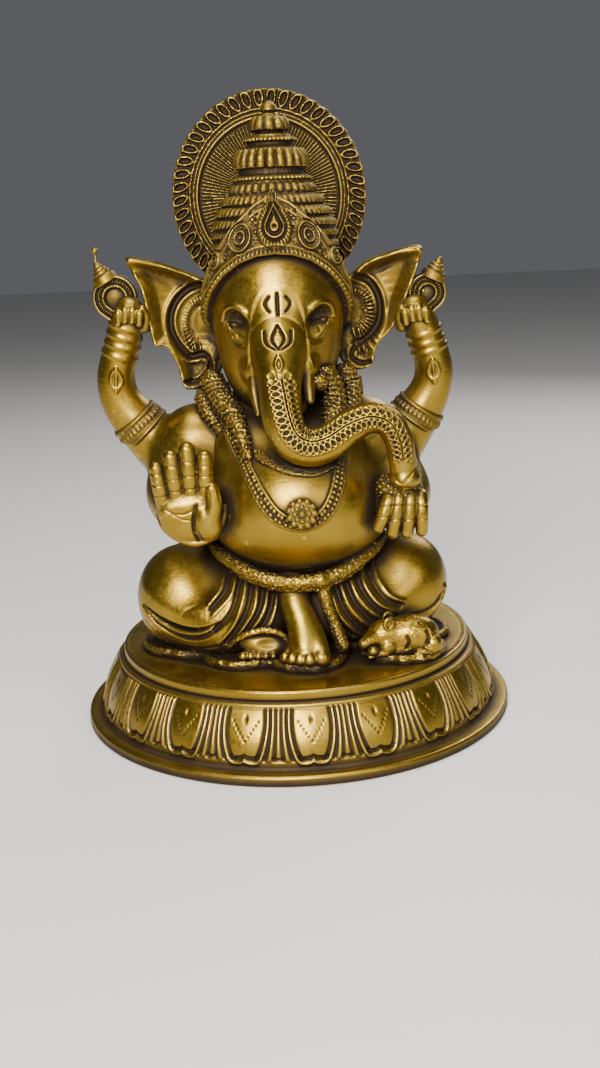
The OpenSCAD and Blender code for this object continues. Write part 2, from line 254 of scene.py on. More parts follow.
class Clay:
    """A distance field on a grid of cells, which shapes are added to and cut from."""

    def __init__(self, low, high, step):
        self.step = step * COARSE
        self.low = np.asarray(low, float)
        count = np.ceil((np.asarray(high, float) - self.low) / self.step).astype(int) + 1
        self.axes = [
            (self.low[i] + self.step * np.arange(count[i])).astype(np.float32) for i in range(3)
        ]
        self.size = tuple(count)
        self.field = self.blank()

    def blank(self):
        """A field with nothing in it."""
        return np.full(self.size, FAR, np.float32)

    def grid(self):
        """The places of all cells, to broadcast together."""
        x, y, z = self.axes
        return x[:, None, None], y[None, :, None], z[None, None, :]

    def window(self, low, high):
        """The cells of a box: their slices, and their places as a grid."""
        cut = tuple(
            slice(max(int(np.searchsorted(axis, a)) - 1, 0), int(np.searchsorted(axis, b)) + 1)
            for axis, a, b in zip(self.axes, low, high)
        )
        x, y, z = (axis[part] for axis, part in zip(self.axes, cut))
        return cut, (x[:, None, None], y[None, :, None], z[None, None, :])

    def near(self, shapes, margin=4.0):
        """The distance to the nearest of some shapes."""
        field = self.blank()
        for shape in shapes:
            cut, grid = self.window(shape.low - margin, shape.high + margin)
            if min(field[cut].shape) > 0:
                field[cut] = np.minimum(field[cut], shape.distance(*grid))
        return field

    def form(self, parts):
        """The distance to parts blended in turn: each is (shapes, blend)."""
        field = self.blank()
        for shapes, blend in parts:
            field = smooth_min(field, self.near(shapes, blend + 3), blend)
        return field

    def add(self, shapes, blend=0.0):
        """Joins shapes to the clay."""
        self.field = smooth_min(self.field, self.near(shapes, blend + 2), blend)

    def cut(self, shapes, blend=0.0):
        """Cuts shapes from the clay."""
        self.field = smooth_max(self.field, -self.near(shapes, blend + 2), blend)

    def raise_line(self, shapes, height, width):
        """Raises the skin along threads; a negative height makes a groove."""
        self.field -= height * bump(self.near(shapes, 3 * width) / width)

    def seam(self, others, blend, reach, over=None):
        """Blends the skin into its neighbours' and keeps what lies within reach of its own.

        At the edge it sinks under its neighbour, or it sinks under over, a piece on top."""
        own = self.field
        joined = smooth_min(own, others, blend)
        near, far = 0.5 * reach, 0.95 * reach
        if over is None:
            joined += DIP * step_up(own, near, far)
        else:
            joined += DIP * (1 - step_up(over, near, far))
        self.field = smooth_max(joined, own - reach, 0.4)

    def roughen(self, height, size, where=None):
        """Raises grains on the skin, or only on the part that where (0 to 1) picks."""
        skin = np.abs(self.field) < 2.5 * self.step + height
        i, j, k = np.nonzero(skin)
        x, y, z = self.axes[0][i], self.axes[1][j], self.axes[2][k]
        lift = np.abs(noise(x, y, z, size)) * 0.8 + 0.4 * noise(x + 9, y, z, size * 0.6)
        if where is not None:
            lift = lift * np.broadcast_to(where, self.size)[i, j, k]
        self.field[i, j, k] -= height * lift

    def front(self, x, z):
        """How far back the skin lies at x, z, seen from the front."""
        i = int(np.clip(round((x - self.axes[0][0]) / self.step), 0, self.size[0] - 1))
        k = int(np.clip(round((z - self.axes[2][0]) / self.step), 0, self.size[2] - 1))
        column = self.field[i, :, k]
        inside = column < 0
        if not inside.any():
            return None
        j = max(int(np.argmax(inside)), 1)
        before, after = column[j - 1], column[j]
        return self.axes[1][j - 1] + self.step * before / (before - after + 1e-9)

    def trace(self, points, step=1.0):
        """A smooth line drawn on the skin from the front through [x, z] landmarks."""
        line = []
        for x, z in flat(points, step):
            y = self.front(x, z)
            if y is not None:
                line.append([x, y, z])
        return np.array(line)

    def draw(self, points, height, width):
        """Raises or grooves the skin to a height along a line drawn from the front."""
        line = self.trace(points)
        if len(line) > 1:
            self.curtain(line, height, width)

    def curtain(self, line, height, width):
        """As raise_line, but as high or as deep as it says, and square to the front."""
        shapes = []
        for shift in np.arange(0, abs(height) + 0.01, 0.8 * width):
            shapes += thread(line - [0, math.copysign(shift, height), 0])
        self.raise_line(shapes, height, width)

    def track(self, samples, facing, margin):
        """For cells near a route: the gap to it, the length along it, the arc and the radius.

        The arc is in millimetres on the limb's skin, from its facing line."""
        gap, along, arc = self.blank(), self.blank(), self.blank()
        lengths = lengths_along(samples[:, :3])
        for a, b, face, length in zip(samples[:-1], samples[1:], facing, lengths):
            span = b[:3] - a[:3]
            run = np.linalg.norm(span)
            tangent = span / run
            face = face - (face @ tangent) * tangent
            face = face / np.linalg.norm(face)
            side = np.cross(tangent, face)
            reach = margin + a[3]
            cut, (x, y, z) = self.window(
                np.minimum(a, b)[:3] - reach, np.maximum(a, b)[:3] + reach
            )
            if min(gap[cut].shape) > 0:
                px, py, pz = x - a[0], y - a[1], z - a[2]
                t = np.clip((px * tangent[0] + py * tangent[1] + pz * tangent[2]) / run, 0, 1)
                px, py, pz = px - t * span[0], py - t * span[1], pz - t * span[2]
                here = np.sqrt(px**2 + py**2 + pz**2)
                turn = np.arctan2(
                    px * side[0] + py * side[1] + pz * side[2],
                    px * face[0] + py * face[1] + pz * face[2],
                )
                closer = here < gap[cut]
                gap[cut] = np.where(closer, here, gap[cut])
                along[cut] = np.where(closer, length + t * run, along[cut])
                arc[cut] = np.where(closer, turn * (a[3] + (b[3] - a[3]) * t), arc[cut])
        radius = np.interp(np.clip(along, 0, lengths[-1]), lengths, samples[:, 3])
        return gap, along, arc, radius

    def mesh(self, name, rubs=0):
        """The skin as a Blender object, rubbed smooth some times, with stray crumbs left out."""
        for axis in range(3):
            for end in (0, -1):
                layer = [slice(None)] * 3
                layer[axis] = end
                self.field[tuple(layer)] = np.maximum(self.field[tuple(layer)], self.step)
        limit = 3 * self.step
        grid = openvdb.FloatGrid(limit)
        grid.copyFromArray(np.clip(self.field, -limit, limit))
        points, triangles, quads = grid.convertToPolygons(isovalue=0.0, adaptivity=0.0)
        points = points.astype(np.float64) * self.step + self.low
        for _ in range(rubs):
            points = rubbed(points, triangles, quads)
        return mesh_object(name, points, triangles[:, ::-1], quads[:, ::-1])


def rubbed(points, triangles, quads):
    """Points moved half way to the middle of their neighbours."""
    pairs = [face[:, [i, i - 1]] for face in (triangles, quads) for i in range(face.shape[1])]
    ends = np.vstack(pairs).astype(np.int64)
    a, b = np.concatenate([ends[:, 0], ends[:, 1]]), np.concatenate([ends[:, 1], ends[:, 0]])
    count = np.maximum(np.bincount(a, minlength=len(points)), 1)
    middle = [np.bincount(a, weights=points[b, i], minlength=len(points)) / count for i in range(3)]
    return 0.5 * points + 0.5 * np.stack(middle, 1)


def largest_pieces(count, triangles, quads):
    """Which points belong to a sizeable piece of the mesh."""
    pairs = [quads[:, [0, 1]], quads[:, [1, 2]], quads[:, [2, 3]]]
    if len(triangles):
        pairs += [triangles[:, [0, 1]], triangles[:, [1, 2]]]
    a, b = np.vstack(pairs).T
    label = np.arange(count)
    while True:
        lowest = np.minimum(label[a], label[b])
        new = label.copy()
        np.minimum.at(new, a, lowest)
        np.minimum.at(new, b, lowest)
        for _ in range(4):
            new = new[new]
        if (new == label).all():
            break
        label = new
    sizes = np.bincount(label, minlength=count)
    return sizes[label] > CRUMB * sizes.max()


def mesh_object(name, points, triangles, quads):
    """A smooth-shaded object from points in millimetres and faces."""
    quads = np.asarray(quads, np.int64).reshape(-1, 4)
    triangles = np.asarray(triangles, np.int64).reshape(-1, 3)
    keep = largest_pieces(len(points), triangles, quads)
    new_index = np.cumsum(keep) - 1
    quads = new_index[quads[keep[quads[:, 0]]]]
    triangles = new_index[triangles[keep[triangles[:, 0]]]]
    points = points[keep]
    corners = points[quads]
    diagonals = np.cross(corners[:, 2] - corners[:, 0], corners[:, 3] - corners[:, 1])
    if (diagonals * (corners.mean(1) - points.mean(0))).sum() < 0:
        quads, triangles = quads[:, ::-1], triangles[:, ::-1]
    mesh = bpy.data.meshes.new(name)
    mesh.vertices.add(len(points))
    mesh.vertices.foreach_set("co", (points * MM).astype(np.float32).ravel())
    loops = np.concatenate([quads.ravel(), triangles.ravel()]).astype(np.int32)
    mesh.loops.add(len(loops))
    mesh.loops.foreach_set("vertex_index", loops)
    starts = np.concatenate(
        [4 * np.arange(len(quads)), 4 * len(quads) + 3 * np.arange(len(triangles))]
    )
    mesh.polygons.add(len(starts))
    mesh.polygons.foreach_set("loop_start", starts.astype(np.int32))
    mesh.polygons.foreach_set("use_smooth", np.ones(len(starts), bool))
    mesh.update(calc_edges=True)
    mesh.validate()
    ob = bpy.data.objects.new(name, mesh)
    bpy.context.scene.collection.objects.link(ob)
    return ob


# ---------- materials ----------

class Nodes:
    """A short way to write a material's node tree."""

    def __init__(self, name):
        self.material = bpy.data.materials.new(name)
        self.material.use_nodes = True
        self.tree = self.material.node_tree
        self.shader = self.tree.nodes["Principled BSDF"]

    def add(self, kind, inputs=None, **settings):
        """A node; an input is a value, or the socket that feeds it."""
        node = self.tree.nodes.new(kind)
        for key, value in settings.items():
            setattr(node, key, value)
        for key, value in (inputs or {}).items():
            if isinstance(value, bpy.types.NodeSocket):
                self.tree.links.new(value, node.inputs[key])
            else:
                node.inputs[key].default_value = value
        return node

    def math(self, operation, a, b=0.0, clamp=False):
        node = self.add("ShaderNodeMath", {0: a, 1: b}, operation=operation, use_clamp=clamp)
        return node.outputs[0]

    def span(self, value, low, high, to_low=0.0, to_high=1.0):
        """Smoothly maps low to high on to another range."""
        inputs = {0: value, 1: low, 2: high, 3: to_low, 4: to_high}
        return self.add("ShaderNodeMapRange", inputs, interpolation_type="SMOOTHSTEP").outputs[0]

    def mix(self, factor, a, b):
        """A colour between two."""
        inputs = {0: factor, 6: a, 7: b}
        return self.add("ShaderNodeMix", inputs, data_type="RGBA").outputs[2]

    def noise(self, scale, detail=3.0, stretch=(1, 1, 1)):
        """Noise from 0 to 1 that stays with the object."""
        place = self.add("ShaderNodeTexCoord").outputs["Object"]
        scaled = self.add("ShaderNodeMapping", {"Vector": place, "Scale": stretch}).outputs[0]
        inputs = {"Vector": scaled, "Scale": scale, "Detail": detail}
        return self.add("ShaderNodeTexNoise", inputs).outputs["Fac"]

    def set(self, **values):
        """Sets or feeds the shader's inputs, with _ for each space."""
        for key, value in values.items():
            socket = self.shader.inputs[key.replace("_", " ")]
            if isinstance(value, bpy.types.NodeSocket):
                self.tree.links.new(value, socket)
            else:
                socket.default_value = value


# Worn brass, brass under a thin film, and the dark colour for patina and painted shade.
BRIGHT = (0.62, 0.43, 0.062, 1)
BRASS = (0.33, 0.205, 0.022, 1)
PATINA_AND_SHADE = (0.022, 0.011, 0.0025, 1)


def antique_brass(name, film, grain, brush):
    """Polished high parts, dark patina in grooves, patina and painted shade in crevices, painted shade in
    wide recesses, and fine casting and brush marks.

    film is the patina on open skin, grain the marks' strength and brush their stretch."""
    n = Nodes(name)
    edge = n.add("ShaderNodeNewGeometry").outputs["Pointiness"]
    hollow = n.add("ShaderNodeAmbientOcclusion", {"Distance": 0.007}, samples=8).outputs["AO"]
    open_sky = n.add("ShaderNodeAmbientOcclusion", {"Distance": 0.035}, samples=8).outputs["AO"]
    cloud = n.noise(110, 4)
    fine = n.noise(900, 3)
    strokes = n.noise(260, 2, brush)

    sunk = n.span(edge, 0.5, 0.455)
    worn = n.span(edge, 0.517, 0.57)
    # Darker within 7 mm of occluding skin: patina in tight crevices, and painted shade there too.
    close_patina_and_shade = n.span(hollow, 0.93, 0.42)
    # Painted shade: darker within 35 mm of occluding skin, in wide recesses, under and between parts.
    wide_painted_shade = n.span(open_sky, 0.9, 0.35)
    dark = n.math("ADD", n.math("MULTIPLY", sunk, 0.6), n.math("MULTIPLY", close_patina_and_shade, 1.2))
    dark = n.math("ADD", dark, n.math("MULTIPLY", wide_painted_shade, 0.55))
    dark = n.math("ADD", dark, n.span(cloud, 0.42, 0.75, 0.0, 0.22))
    left = n.math("SUBTRACT", 1.0, n.math("MULTIPLY", worn, 0.75))
    dark = n.math("MULTIPLY", n.math("ADD", dark, film), left, clamp=True)

    gold = n.mix(n.math("MULTIPLY", worn, 0.8), BRASS, BRIGHT)
    gold = n.mix(n.span(cloud, 0.35, 0.65, 0.0, 0.3), gold, BRIGHT)
    rough = n.math("ADD", n.span(dark, 0.0, 1.0, 0.27, 0.62), n.span(fine, 0.3, 0.7, 0.0, 0.08))
    height = n.math("ADD", n.math("MULTIPLY", fine, 0.6), n.math("MULTIPLY", strokes, 0.5))
    relief = n.add("ShaderNodeBump", {"Height": height, "Strength": grain, "Distance": 0.0006})
    # The dark colour is patina in grooves and crevices, and painted shade in recesses and between parts.
    n.set(Base_Color=n.mix(dark, gold, PATINA_AND_SHADE), Normal=relief.outputs[0])
    n.set(Metallic=n.span(dark, 0.3, 1.0, 1.0, 0.55), Roughness=rough)
    return n.material


def steel():
    """Cloudy zinc-plated steel, for the screws and washers."""
    n = Nodes("zinc_steel")
    cloud = n.noise(400, 4)
    n.set(Base_Color=n.mix(cloud, (0.42, 0.41, 0.38, 1), (0.62, 0.6, 0.56, 1)))
    n.set(Metallic=1.0, Roughness=n.span(cloud, 0.3, 0.7, 0.3, 0.5))
    return n.material


def floor_paint():
    """A plain pale floor."""
    n = Nodes("pale_floor")
    cloud = n.noise(3, 4)
    n.set(Base_Color=n.mix(cloud, (0.66, 0.645, 0.62, 1), (0.7, 0.69, 0.665, 1)), Roughness=0.7)
    return n.material


SMOOTH_BRASS = antique_brass("antique_brass", 0.08, 0.12, (1, 1, 6))
CHASED_BRASS = antique_brass("chased_brass", 0.2, 0.4, (1, 1, 1))
ORNAMENT_BRASS = antique_brass("ornament_brass", 0.4, 0.2, (1, 1, 1))
TURNED_BRASS = antique_brass("turned_brass", 0.12, 0.14, (1, 1, 14))
STEEL = steel()

BRASS_OF_SLOT = {
    "antique_brass": SMOOTH_BRASS,
    "chased_brass": CHASED_BRASS,
    "ornament_brass": ORNAMENT_BRASS,
    "pedestal_brass": TURNED_BRASS,
}
SLOT_OF_NODE = {s["node"]: s["material_slot"] for s in frame["record"]["subparts"]}


def place(piece, node):
    """Stands a piece in for its CAD node, with the finish of that node's slot."""
    slot = SLOT_OF_NODE[node]
    piece.data.materials.append(BRASS_OF_SLOT[slot])
    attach(piece, "root")
    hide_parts(node)


# ---------- the figure's masses, shared by neighbouring castings ----------
# A mass is a list of (shapes, blend). A limb's rows are x, y, z and radius.

TORSO = [
    ([egg(at(3, -10, 50), (31.5, 31, 27))], 0),
    ([egg(at(-1, -1, 70), (28, 19, 20))], 9),
    ([egg(at(0, 5, 24), (27, 22, 24))], 8),
    ([rod(at(-24, 1, 73), at(20, 1, 73), 9 * UNIT, 9 * UNIT)], 7),
    ([rod(at(-1, 0, 88), at(-1, -1, 70), 13 * UNIT, 15 * UNIT)], 6),
]
CHEST = [egg(at(x, -17, 71), (11, 6, 8)) for x in (-11.5, 13)]
HEAD = [
    ([egg(at(-1, -3, 107), (19.9, 21, 24))], 0),
    ([egg(at(-1, -5, 116), (19.6, 21.5, 20))], 8),
    ([egg(at(-1, -5, 120), (20.4, 21.2, 26))], 6),
    ([egg(at(-1, -9, 96), (16.2, 17, 18))], 10),
]
TRUNK_ROUTE = [
    (-1, -9, 121, 6.5), (-1.1, -17, 113.5, 7.2), (-1.1, -23.4, 106, 7.5), (-1.2, -28.6, 98.4, 7.2),
    (-1.2, -32.7, 90.4, 6.7), (-0.9, -35.4, 82.2, 6.5), (1.5, -36.7, 75.6, 6.3),
    (7.2, -37, 72.4, 6.1), (13.8, -37, 74, 5.7), (20.6, -36.5, 78.7, 5.3),
    (27, -36, 81, 5), (32.4, -35.5, 79.2, 4.8), (35.6, -35, 73.6, 4.6), (36.8, -34.5, 66.5, 4.4),
    (37.2, -34, 61.5, 4.3),
]
RIGHT_THIGH = [(-15, 6, 18, 14), (-28, -2, 20, 16), (-37.5, -10, 19.5, 16.2)]
RIGHT_SHIN = [(-38.5, -13, 14, 13.6), (-26, -23, 11.5, 11.4), (-12, -26, 14.5, 10)]
LEFT_THIGH = [(14, 6, 18, 14), (27, -1, 20, 15.5), (38, -8, 21, 15)]
LEFT_SHIN = [(39, -10, 16, 12.5), (26, -20, 13, 10.8), (12, -24, 14.5, 9.5)]
RIGHT_LAP = egg(at(-13, -19, 19), (14, 13, 11), (0, 20, 0))
LEFT_LAP = egg(at(14, -17, 19), (14, 13, 11), (0, -20, 0))
RIGHT_LEG = [(limb(RIGHT_THIGH), 0), (limb(RIGHT_SHIN), 5), ([RIGHT_LAP], 7)]
LEFT_LEG = [(limb(LEFT_THIGH), 0), (limb(LEFT_SHIN), 5), ([LEFT_LAP], 7)]
RIGHT_FRONT_ARM = [(-31, -2, 70, 13), (-36.5, -3, 61, 11), (-38.5, -10, 53, 10), (-34, -24, 49, 7.6)]
LEFT_FRONT_ARM = [(27, -2, 70, 13), (33.5, -3, 61, 10.6), (38.5, -11, 52, 9.6), (37, -22, 50, 7.6)]
RIGHT_REAR_ARM = [
    (-37, 4, 62, 11), (-47, 4, 72, 9.2), (-55.6, 3, 83, 7.2), (-57.4, 2, 93, 6.4),
    (-54.2, 1, 104, 6), (-52, 0, 111, 5.9), (-50.5, -1, 115.5, 5),
]
LEFT_REAR_ARM = [
    (33, 4, 60, 11), (42, 4, 71, 9.2), (49.6, 3, 82.5, 7.1), (51.4, 2, 91.5, 6.4),
    (49, 1, 101, 6), (46.8, 0, 107.5, 5.8), (44.8, -1, 112, 5),
]
SLAB_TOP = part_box("ground_slab")[1][2] / MM
UNDER_SLAB = 0.8  # how far the castings reach into the ground slab


def box_round(parts, margin=3.0):
    """The box of some shapes, with room for detail."""
    low = np.min([s.low for s in parts], 0) - margin
    high = np.max([s.high for s in parts], 0) + margin
    return low, high


def above_slab(clay):
    """Cuts the clay flat a little inside the ground slab, so that no gap shows."""
    z = clay.grid()[2]
    clay.field = np.maximum(clay.field, (SLAB_TOP - UNDER_SLAB) - z)


# ---------- torso ----------

def make_torso():
    """The body's shell, with a line down the spine and grain on the shoulders."""
    clay = Clay(at(-42, -44, 0), at(44, 30, 97), 0.42)
    clay.field = clay.form(TORSO)
    for breast in CHEST:
        clay.add([breast], 6)
    x, y, z = clay.grid()
    spine = step_up(y, 6, 12) * step_up(z, LEDGE + 22, LEDGE + 34)
    clay.field += 0.9 * spine * bump((x + 0.5) / 1.6)
    left, right = at(29, 0, 67), at(-19, 0, 80)
    grain = bump((x - left[0]) / 7) * bump((z - left[2]) / 8) * step_up(-y, 6, 14)
    grain = grain + bump((x - right[0]) / 5) * bump((z - right[2]) / 6)
    clay.roughen(0.35, 1.1, np.clip(grain * 1.4, 0, 1))
    above_slab(clay)
    place(clay.mesh("torso_casting", 3), "torso")


def make_waistband():
    """A sash that dips round the belly, with a knot and one hanging end."""
    clay = Clay(at(-33, -44, 2), at(36, -4, 46), 0.32)
    line = []
    for t in np.radians(np.arange(-76, 77, 8)):
        line.append(at(2 + 29 * math.sin(t), -8 - 26.6 * math.cos(t), 27.6 + 9.5 * math.sin(t) ** 2))
    clay.field = clay.near(thread(line, 2.3 * UNIT))
    clay.add(thread([point - [0, 0, 2.2] for point in line[4:-4]], 1.2 * UNIT), 0.8)
    tail = [(9.5, -33.5, 27, 2.2), (10.8, -34.5, 20, 1.9), (13, -34.5, 13, 1.9), (15.5, -35.5, 5.5, 2.2)]
    clay.add(limb(tail, 1.0), 1.2)
    clay.add([ball(at(9, -34.6, 28), 2.7 * UNIT)], 1)
    clay.field = smooth_max(clay.field, -(clay.form(TORSO) + 1.2), 0.3)
    clay.roughen(0.6, 0.75)
    place(clay.mesh("waist_sash"), "waistband")


# The necklace's run on the chest, from the right shoulder round to the left.
NECKLACE = [
    (-20, 80), (-16.5, 73), (-12.3, 64), (-8.8, 57.5), (-3.5, 51), (4.2, 48.6), (11, 51.3),
    (15, 57.5), (16.8, 65), (17.5, 74),
]


def make_necklace():
    """Two rows of beads between two wires, and a rough collar above them."""
    clay = Clay(at(-26, -46, 44), at(24, -8, 86), 0.26)
    body = clay.form(TORSO)
    for breast in CHEST:
        body = smooth_min(body, clay.near([breast], 9), 6)
    clay.field = body
    line = clay.trace(NECKLACE, 0.5)
    tangent = np.gradient(line, axis=0)
    tangent /= np.linalg.norm(tangent, axis=1)[:, None]
    outward = line - at(1, 4, 62)
    outward /= np.linalg.norm(outward, axis=1)[:, None]
    side = np.cross(tangent, outward)
    strands = []
    for offset in (-2.1, 2.2):
        strands += thread((line + side * offset + outward * 0.35)[::2], 0.5 * UNIT)
    lengths = lengths_along(line)
    for offset in (-0.95, 0.95):
        spots = line + side * offset + outward * 0.45
        for run in np.arange(0, lengths[-1], 1.75):
            strands.append(ball(spots[int(np.searchsorted(lengths, run))], 0.8 * UNIT))
    band = clay.near(thread(line[::2], 2.7 * UNIT))
    base = smooth_max(body - 0.35, band, 0.3)
    clay.field = smooth_min(base, clay.near(strands), 0.25)
    neck = [(-13, -27, 75), (-8, -31, 69), (0, -35.5, 65.3), (8, -36.5, 64.6), (15, -34.5, 67)]
    collar = clay.near(thread(path(neck, 0.8), 1.5 * UNIT))
    clay.field = smooth_min(clay.field, np.maximum(collar, body - 1.1), 0.4)
    clay.roughen(0.35, 0.8, 1 - step_up(collar, 0.5, 1.5))
    clay.field = np.maximum(clay.field, -(body + 1.0))
    place(clay.mesh("bead_necklace"), "necklace")


def make_pendant():
    """A flower: an eye, a ring of seeds and a ring of petals."""
    centre, lean = at(4, -42.2, 52.3), (82, 0, 0)
    tilt = turn_matrix(lean)
    clay = Clay(centre - 8, centre + 8, 0.2)
    clay.field = clay.near([egg(centre, (4.6, 4.6, 1.6), lean)])
    for count, radius, size, lift in ((11, 4.1, 1.15, 0.2), (8, 2.3, 0.85, 1.0), (1, 0, 1.3, 1.2)):
        spots = []
        for turn in 2 * np.pi * np.arange(count) / count:
            offset = np.array([radius * math.cos(turn), radius * math.sin(turn), lift])
            spots.append(ball(centre + tilt @ offset, size * UNIT))
        clay.add(spots, 0.15)
    clay.cut(ring(centre + tilt @ np.array([0, 0, 1.5]), tilt @ np.array([0, 0, 1.0]), 3.15, 0.3), 0.2)
    place(clay.mesh("pendant_flower"), "pendant")


# ---------- legs and feet ----------

RIGHT_FOLDS = [
    [(-22.5, 29), (-24.5, 24.5), (-28, 20.5)],
    [(-19, 28), (-21, 23), (-26.8, 17.3)],
    [(-15.5, 27), (-17.2, 20.8), (-20.2, 14), (-25.5, 7.6)],
    [(-11.7, 26), (-13, 19.5), (-16.3, 14), (-20.5, 8.4)],
    [(-8.2, 25.3), (-9.4, 20), (-12.1, 15.4), (-16.5, 10)],
    [(-5, 24.5), (-6, 19), (-8, 14), (-11.5, 10.4)],
]
LEFT_FOLDS = [
    [(26.5, 30), (28.8, 24.5), (32.5, 19.5), (37, 17)],
    [(22.5, 28.5), (24.8, 22.5), (28.5, 17.5), (33.5, 14.4)],
    [(18.8, 27), (21.5, 20.6), (25.6, 15.4), (30, 12)],
    [(15.6, 25.5), (18.2, 18.4), (22.5, 12.6), (26.5, 9)],
    [(12.8, 22), (15, 15.4), (19, 9.8), (22.5, 6.6)],
    [(11, 16.5), (13, 11.4), (16.5, 7)],
]
CRESCENT = [(-51.2, 18), (-45.5, 13.4), (-39.5, 10.7), (-33.5, 10.4), (-28.5, 12), (-25, 14.6)]


def picked(line, count):
    """Some points of a line, spread evenly from end to end."""
    return [line[round(i * (len(line) - 1) / (count - 1))] for i in range(count)]


def between(a, b, t):
    """A line part of the way from one fold to the next."""
    count = min(len(a), len(b))
    pairs = zip(picked(a, count), picked(b, count))
    return [tuple((1 - t) * np.array(p) + t * np.array(q)) for p, q in pairs]


def drape(clay, folds):
    """Cloth folds: a raised line along each fold and a deep valley between neighbours."""
    valleys = [clay.trace(between(a, b, 0.52)) for a, b in zip(folds[:-1], folds[1:])]
    ridges = [clay.trace(fold) for fold in folds]
    for lines, height, width in ((valleys, -1.5, 0.75), (ridges, 0.7, 0.7)):
        for line in lines:
            if len(line) > 1:
                clay.curtain(line, height, width)


def stitches(clay, points):
    """A dashed line punched along a hem."""
    gap = 1.3
    line = clay.trace(points, gap / 2)
    for i in range(0, len(line) - 1, 2):
        clay.raise_line([rod(line[i], line[i + 1], 0, 0)], -0.35, 0.42)


def leg_clay(parts):
    """A leg's clay, which stands on the ledge."""
    low, high = box_round([shape for shapes, _ in parts for shape in shapes])
    low[2] = LEDGE
    clay = Clay(low, high, 0.36)
    clay.field = clay.form(parts)
    return clay


def make_right_leg():
    """The bent leg, with a deep crescent of cloth under the knee, folds and stitched hems."""
    clay = leg_clay(RIGHT_LEG)
    clay.draw([(-49.5, 24), (-44, 19.5), (-37, 17.5), (-30, 19), (-25, 23)], 0.5, 3.0)
    line = clay.trace(CRESCENT, 0.8)
    fade = np.sin(np.linspace(0.12, np.pi - 0.12, len(line) - 1)) ** 0.6
    parts = list(zip(line[:-1], line[1:], fade))
    deeper = np.array([0, 1.3, 0])
    clay.cut([rod(a, b, 2.5 * f, 2.5 * f) for a, b, f in parts], 0.4)
    clay.add([rod(a + deeper, b + deeper, 0.9 * f, 0.9 * f) for a, b, f in parts], 0.4)
    drape(clay, RIGHT_FOLDS)
    clay.draw([(-51, 12), (-46, 7.2), (-39, 5), (-32, 5), (-26, 6.4)], -0.45, 0.45)
    stitches(clay, [(-49, 8), (-43, 4.4), (-36, 3.2), (-29, 3.4)])
    stitches(clay, [(-50.2, 10.2), (-44.5, 5.9), (-37.5, 4.2), (-30, 4.3)])
    above_slab(clay)
    place(clay.mesh("right_leg_casting"), "right_leg")


def make_left_leg():
    """The other bent leg, with folds and a hem."""
    clay = leg_clay(LEFT_LEG)
    drape(clay, LEFT_FOLDS)
    clay.draw([(31, 13.2), (36, 11.6), (42, 11), (47, 12.4), (51.5, 17)], -0.8, 0.7)
    clay.draw([(44, 8.6), (47, 9.8), (50, 13.2), (52.2, 18)], 1.1, 1.1)
    stitches(clay, [(31, 11.6), (36, 9.9), (42, 9.2)])
    above_slab(clay)
    place(clay.mesh("left_leg_casting"), "left_leg")


RIGHT_FOOT = [
    (-0.6, -27, 25.5, 5.6), (0.4, -31.5, 20.5, 5.3), (2.2, -36, 13, 4.9), (3.2, -40, 6.6, 5.0),
    (3.6, -41.5, 4, 4),
]
# Each toe's place across the foot, its radius and how far forward its tip is.
RIGHT_TOES = ((8.4, 2.9, 46.6), (4.4, 2.0, 47.2), (1.4, 1.8, 46.4), (-1.3, 1.65, 45.2), (-3.6, 1.5, 43.6))


def make_right_foot():
    """The hanging foot, from its anklet to its nails."""
    clay = Clay(at(-13, -52, 0), at(14, -20, 38), 0.3)
    clay.field = clay.near(limb(RIGHT_FOOT))
    clay.add([rod(at(3.4, -34, 15), at(6.6, -39, 9), 4.2 * UNIT, 3.2 * UNIT)], 3)
    clay.add([rod(at(6.2, -37.5, 11), at(8.2, -42, 6.6), 3.0 * UNIT, 2.8 * UNIT)], 1.5)
    for x, radius, reach in RIGHT_TOES:
        knuckle, tip = at(0.62 * x + 1.4, -38.5, 7), at(x, -reach + radius, 4.4)
        clay.add([rod(knuckle, tip, (radius + 0.3) * UNIT, radius * UNIT)], 0.8)
        clay.add([ball(at(x, -reach + radius, 4.3), (radius + 0.25) * UNIT)], 0.5)
        nail = egg(at(x, -reach + 0.7, 5.6), (radius * 0.62, 0.5, radius * 0.6), (-25, 0, 0))
        clay.add([nail], 0.1)
    clay.raise_line(ring(at(-1.6, -31, 25.5), (0.2, -0.35, -1), 6.3, 0), 0.7, 0.8)
    above_slab(clay)
    place(clay.mesh("right_foot_casting"), "right_foot")


def make_left_foot():
    """The tucked foot, with its sole forward."""
    clay = Clay(at(-25, -44, 0), at(1, -24, 16), 0.26)
    clay.field = clay.near([egg(at(-10.2, -34, 6.6), (8.6, 4.4, 4.6), (0, 10, 0))])
    clay.cut([egg(at(-8.6, -39.4, 8.2), (4.2, 2.4, 2))], 1.2)
    for i in range(5):
        root, tip = at(-14.5 + 1.8 * i, -35.5, 4.6), at(-17.4 + 2.5 * i, -38.2, 4.2 - 0.1 * i)
        clay.add([rod(root, tip, 1.7 * UNIT, (1.6 - 0.12 * i) * UNIT)], 0.4)
    hem = [(-22, -33, 6), (-17.5, -36.5, 10.5), (-10, -37.5, 12.6), (-3.4, -37, 10), (-1.6, -37.5, 4)]
    hem = path(hem, 1)
    clay.add(thread(hem, 1.0 * UNIT), 0.3)
    clay.roughen(0.35, 0.9, 1 - step_up(clay.near(thread(hem)), 1.2, 1.8))
    above_slab(clay)
    place(clay.mesh("left_foot_casting"), "left_foot")


# ---------- arms and hands ----------

def make_front_arm(node, landmarks):
    """A front arm, which runs into the body at the shoulder."""
    shapes = limb(landmarks)
    low, high = box_round(shapes, 6)
    clay = Clay(low, high, 0.36)
    clay.field = clay.near(shapes)
    clay.seam(clay.form(TORSO), 5, 4.5)
    place(clay.mesh(node + "_casting"), node)


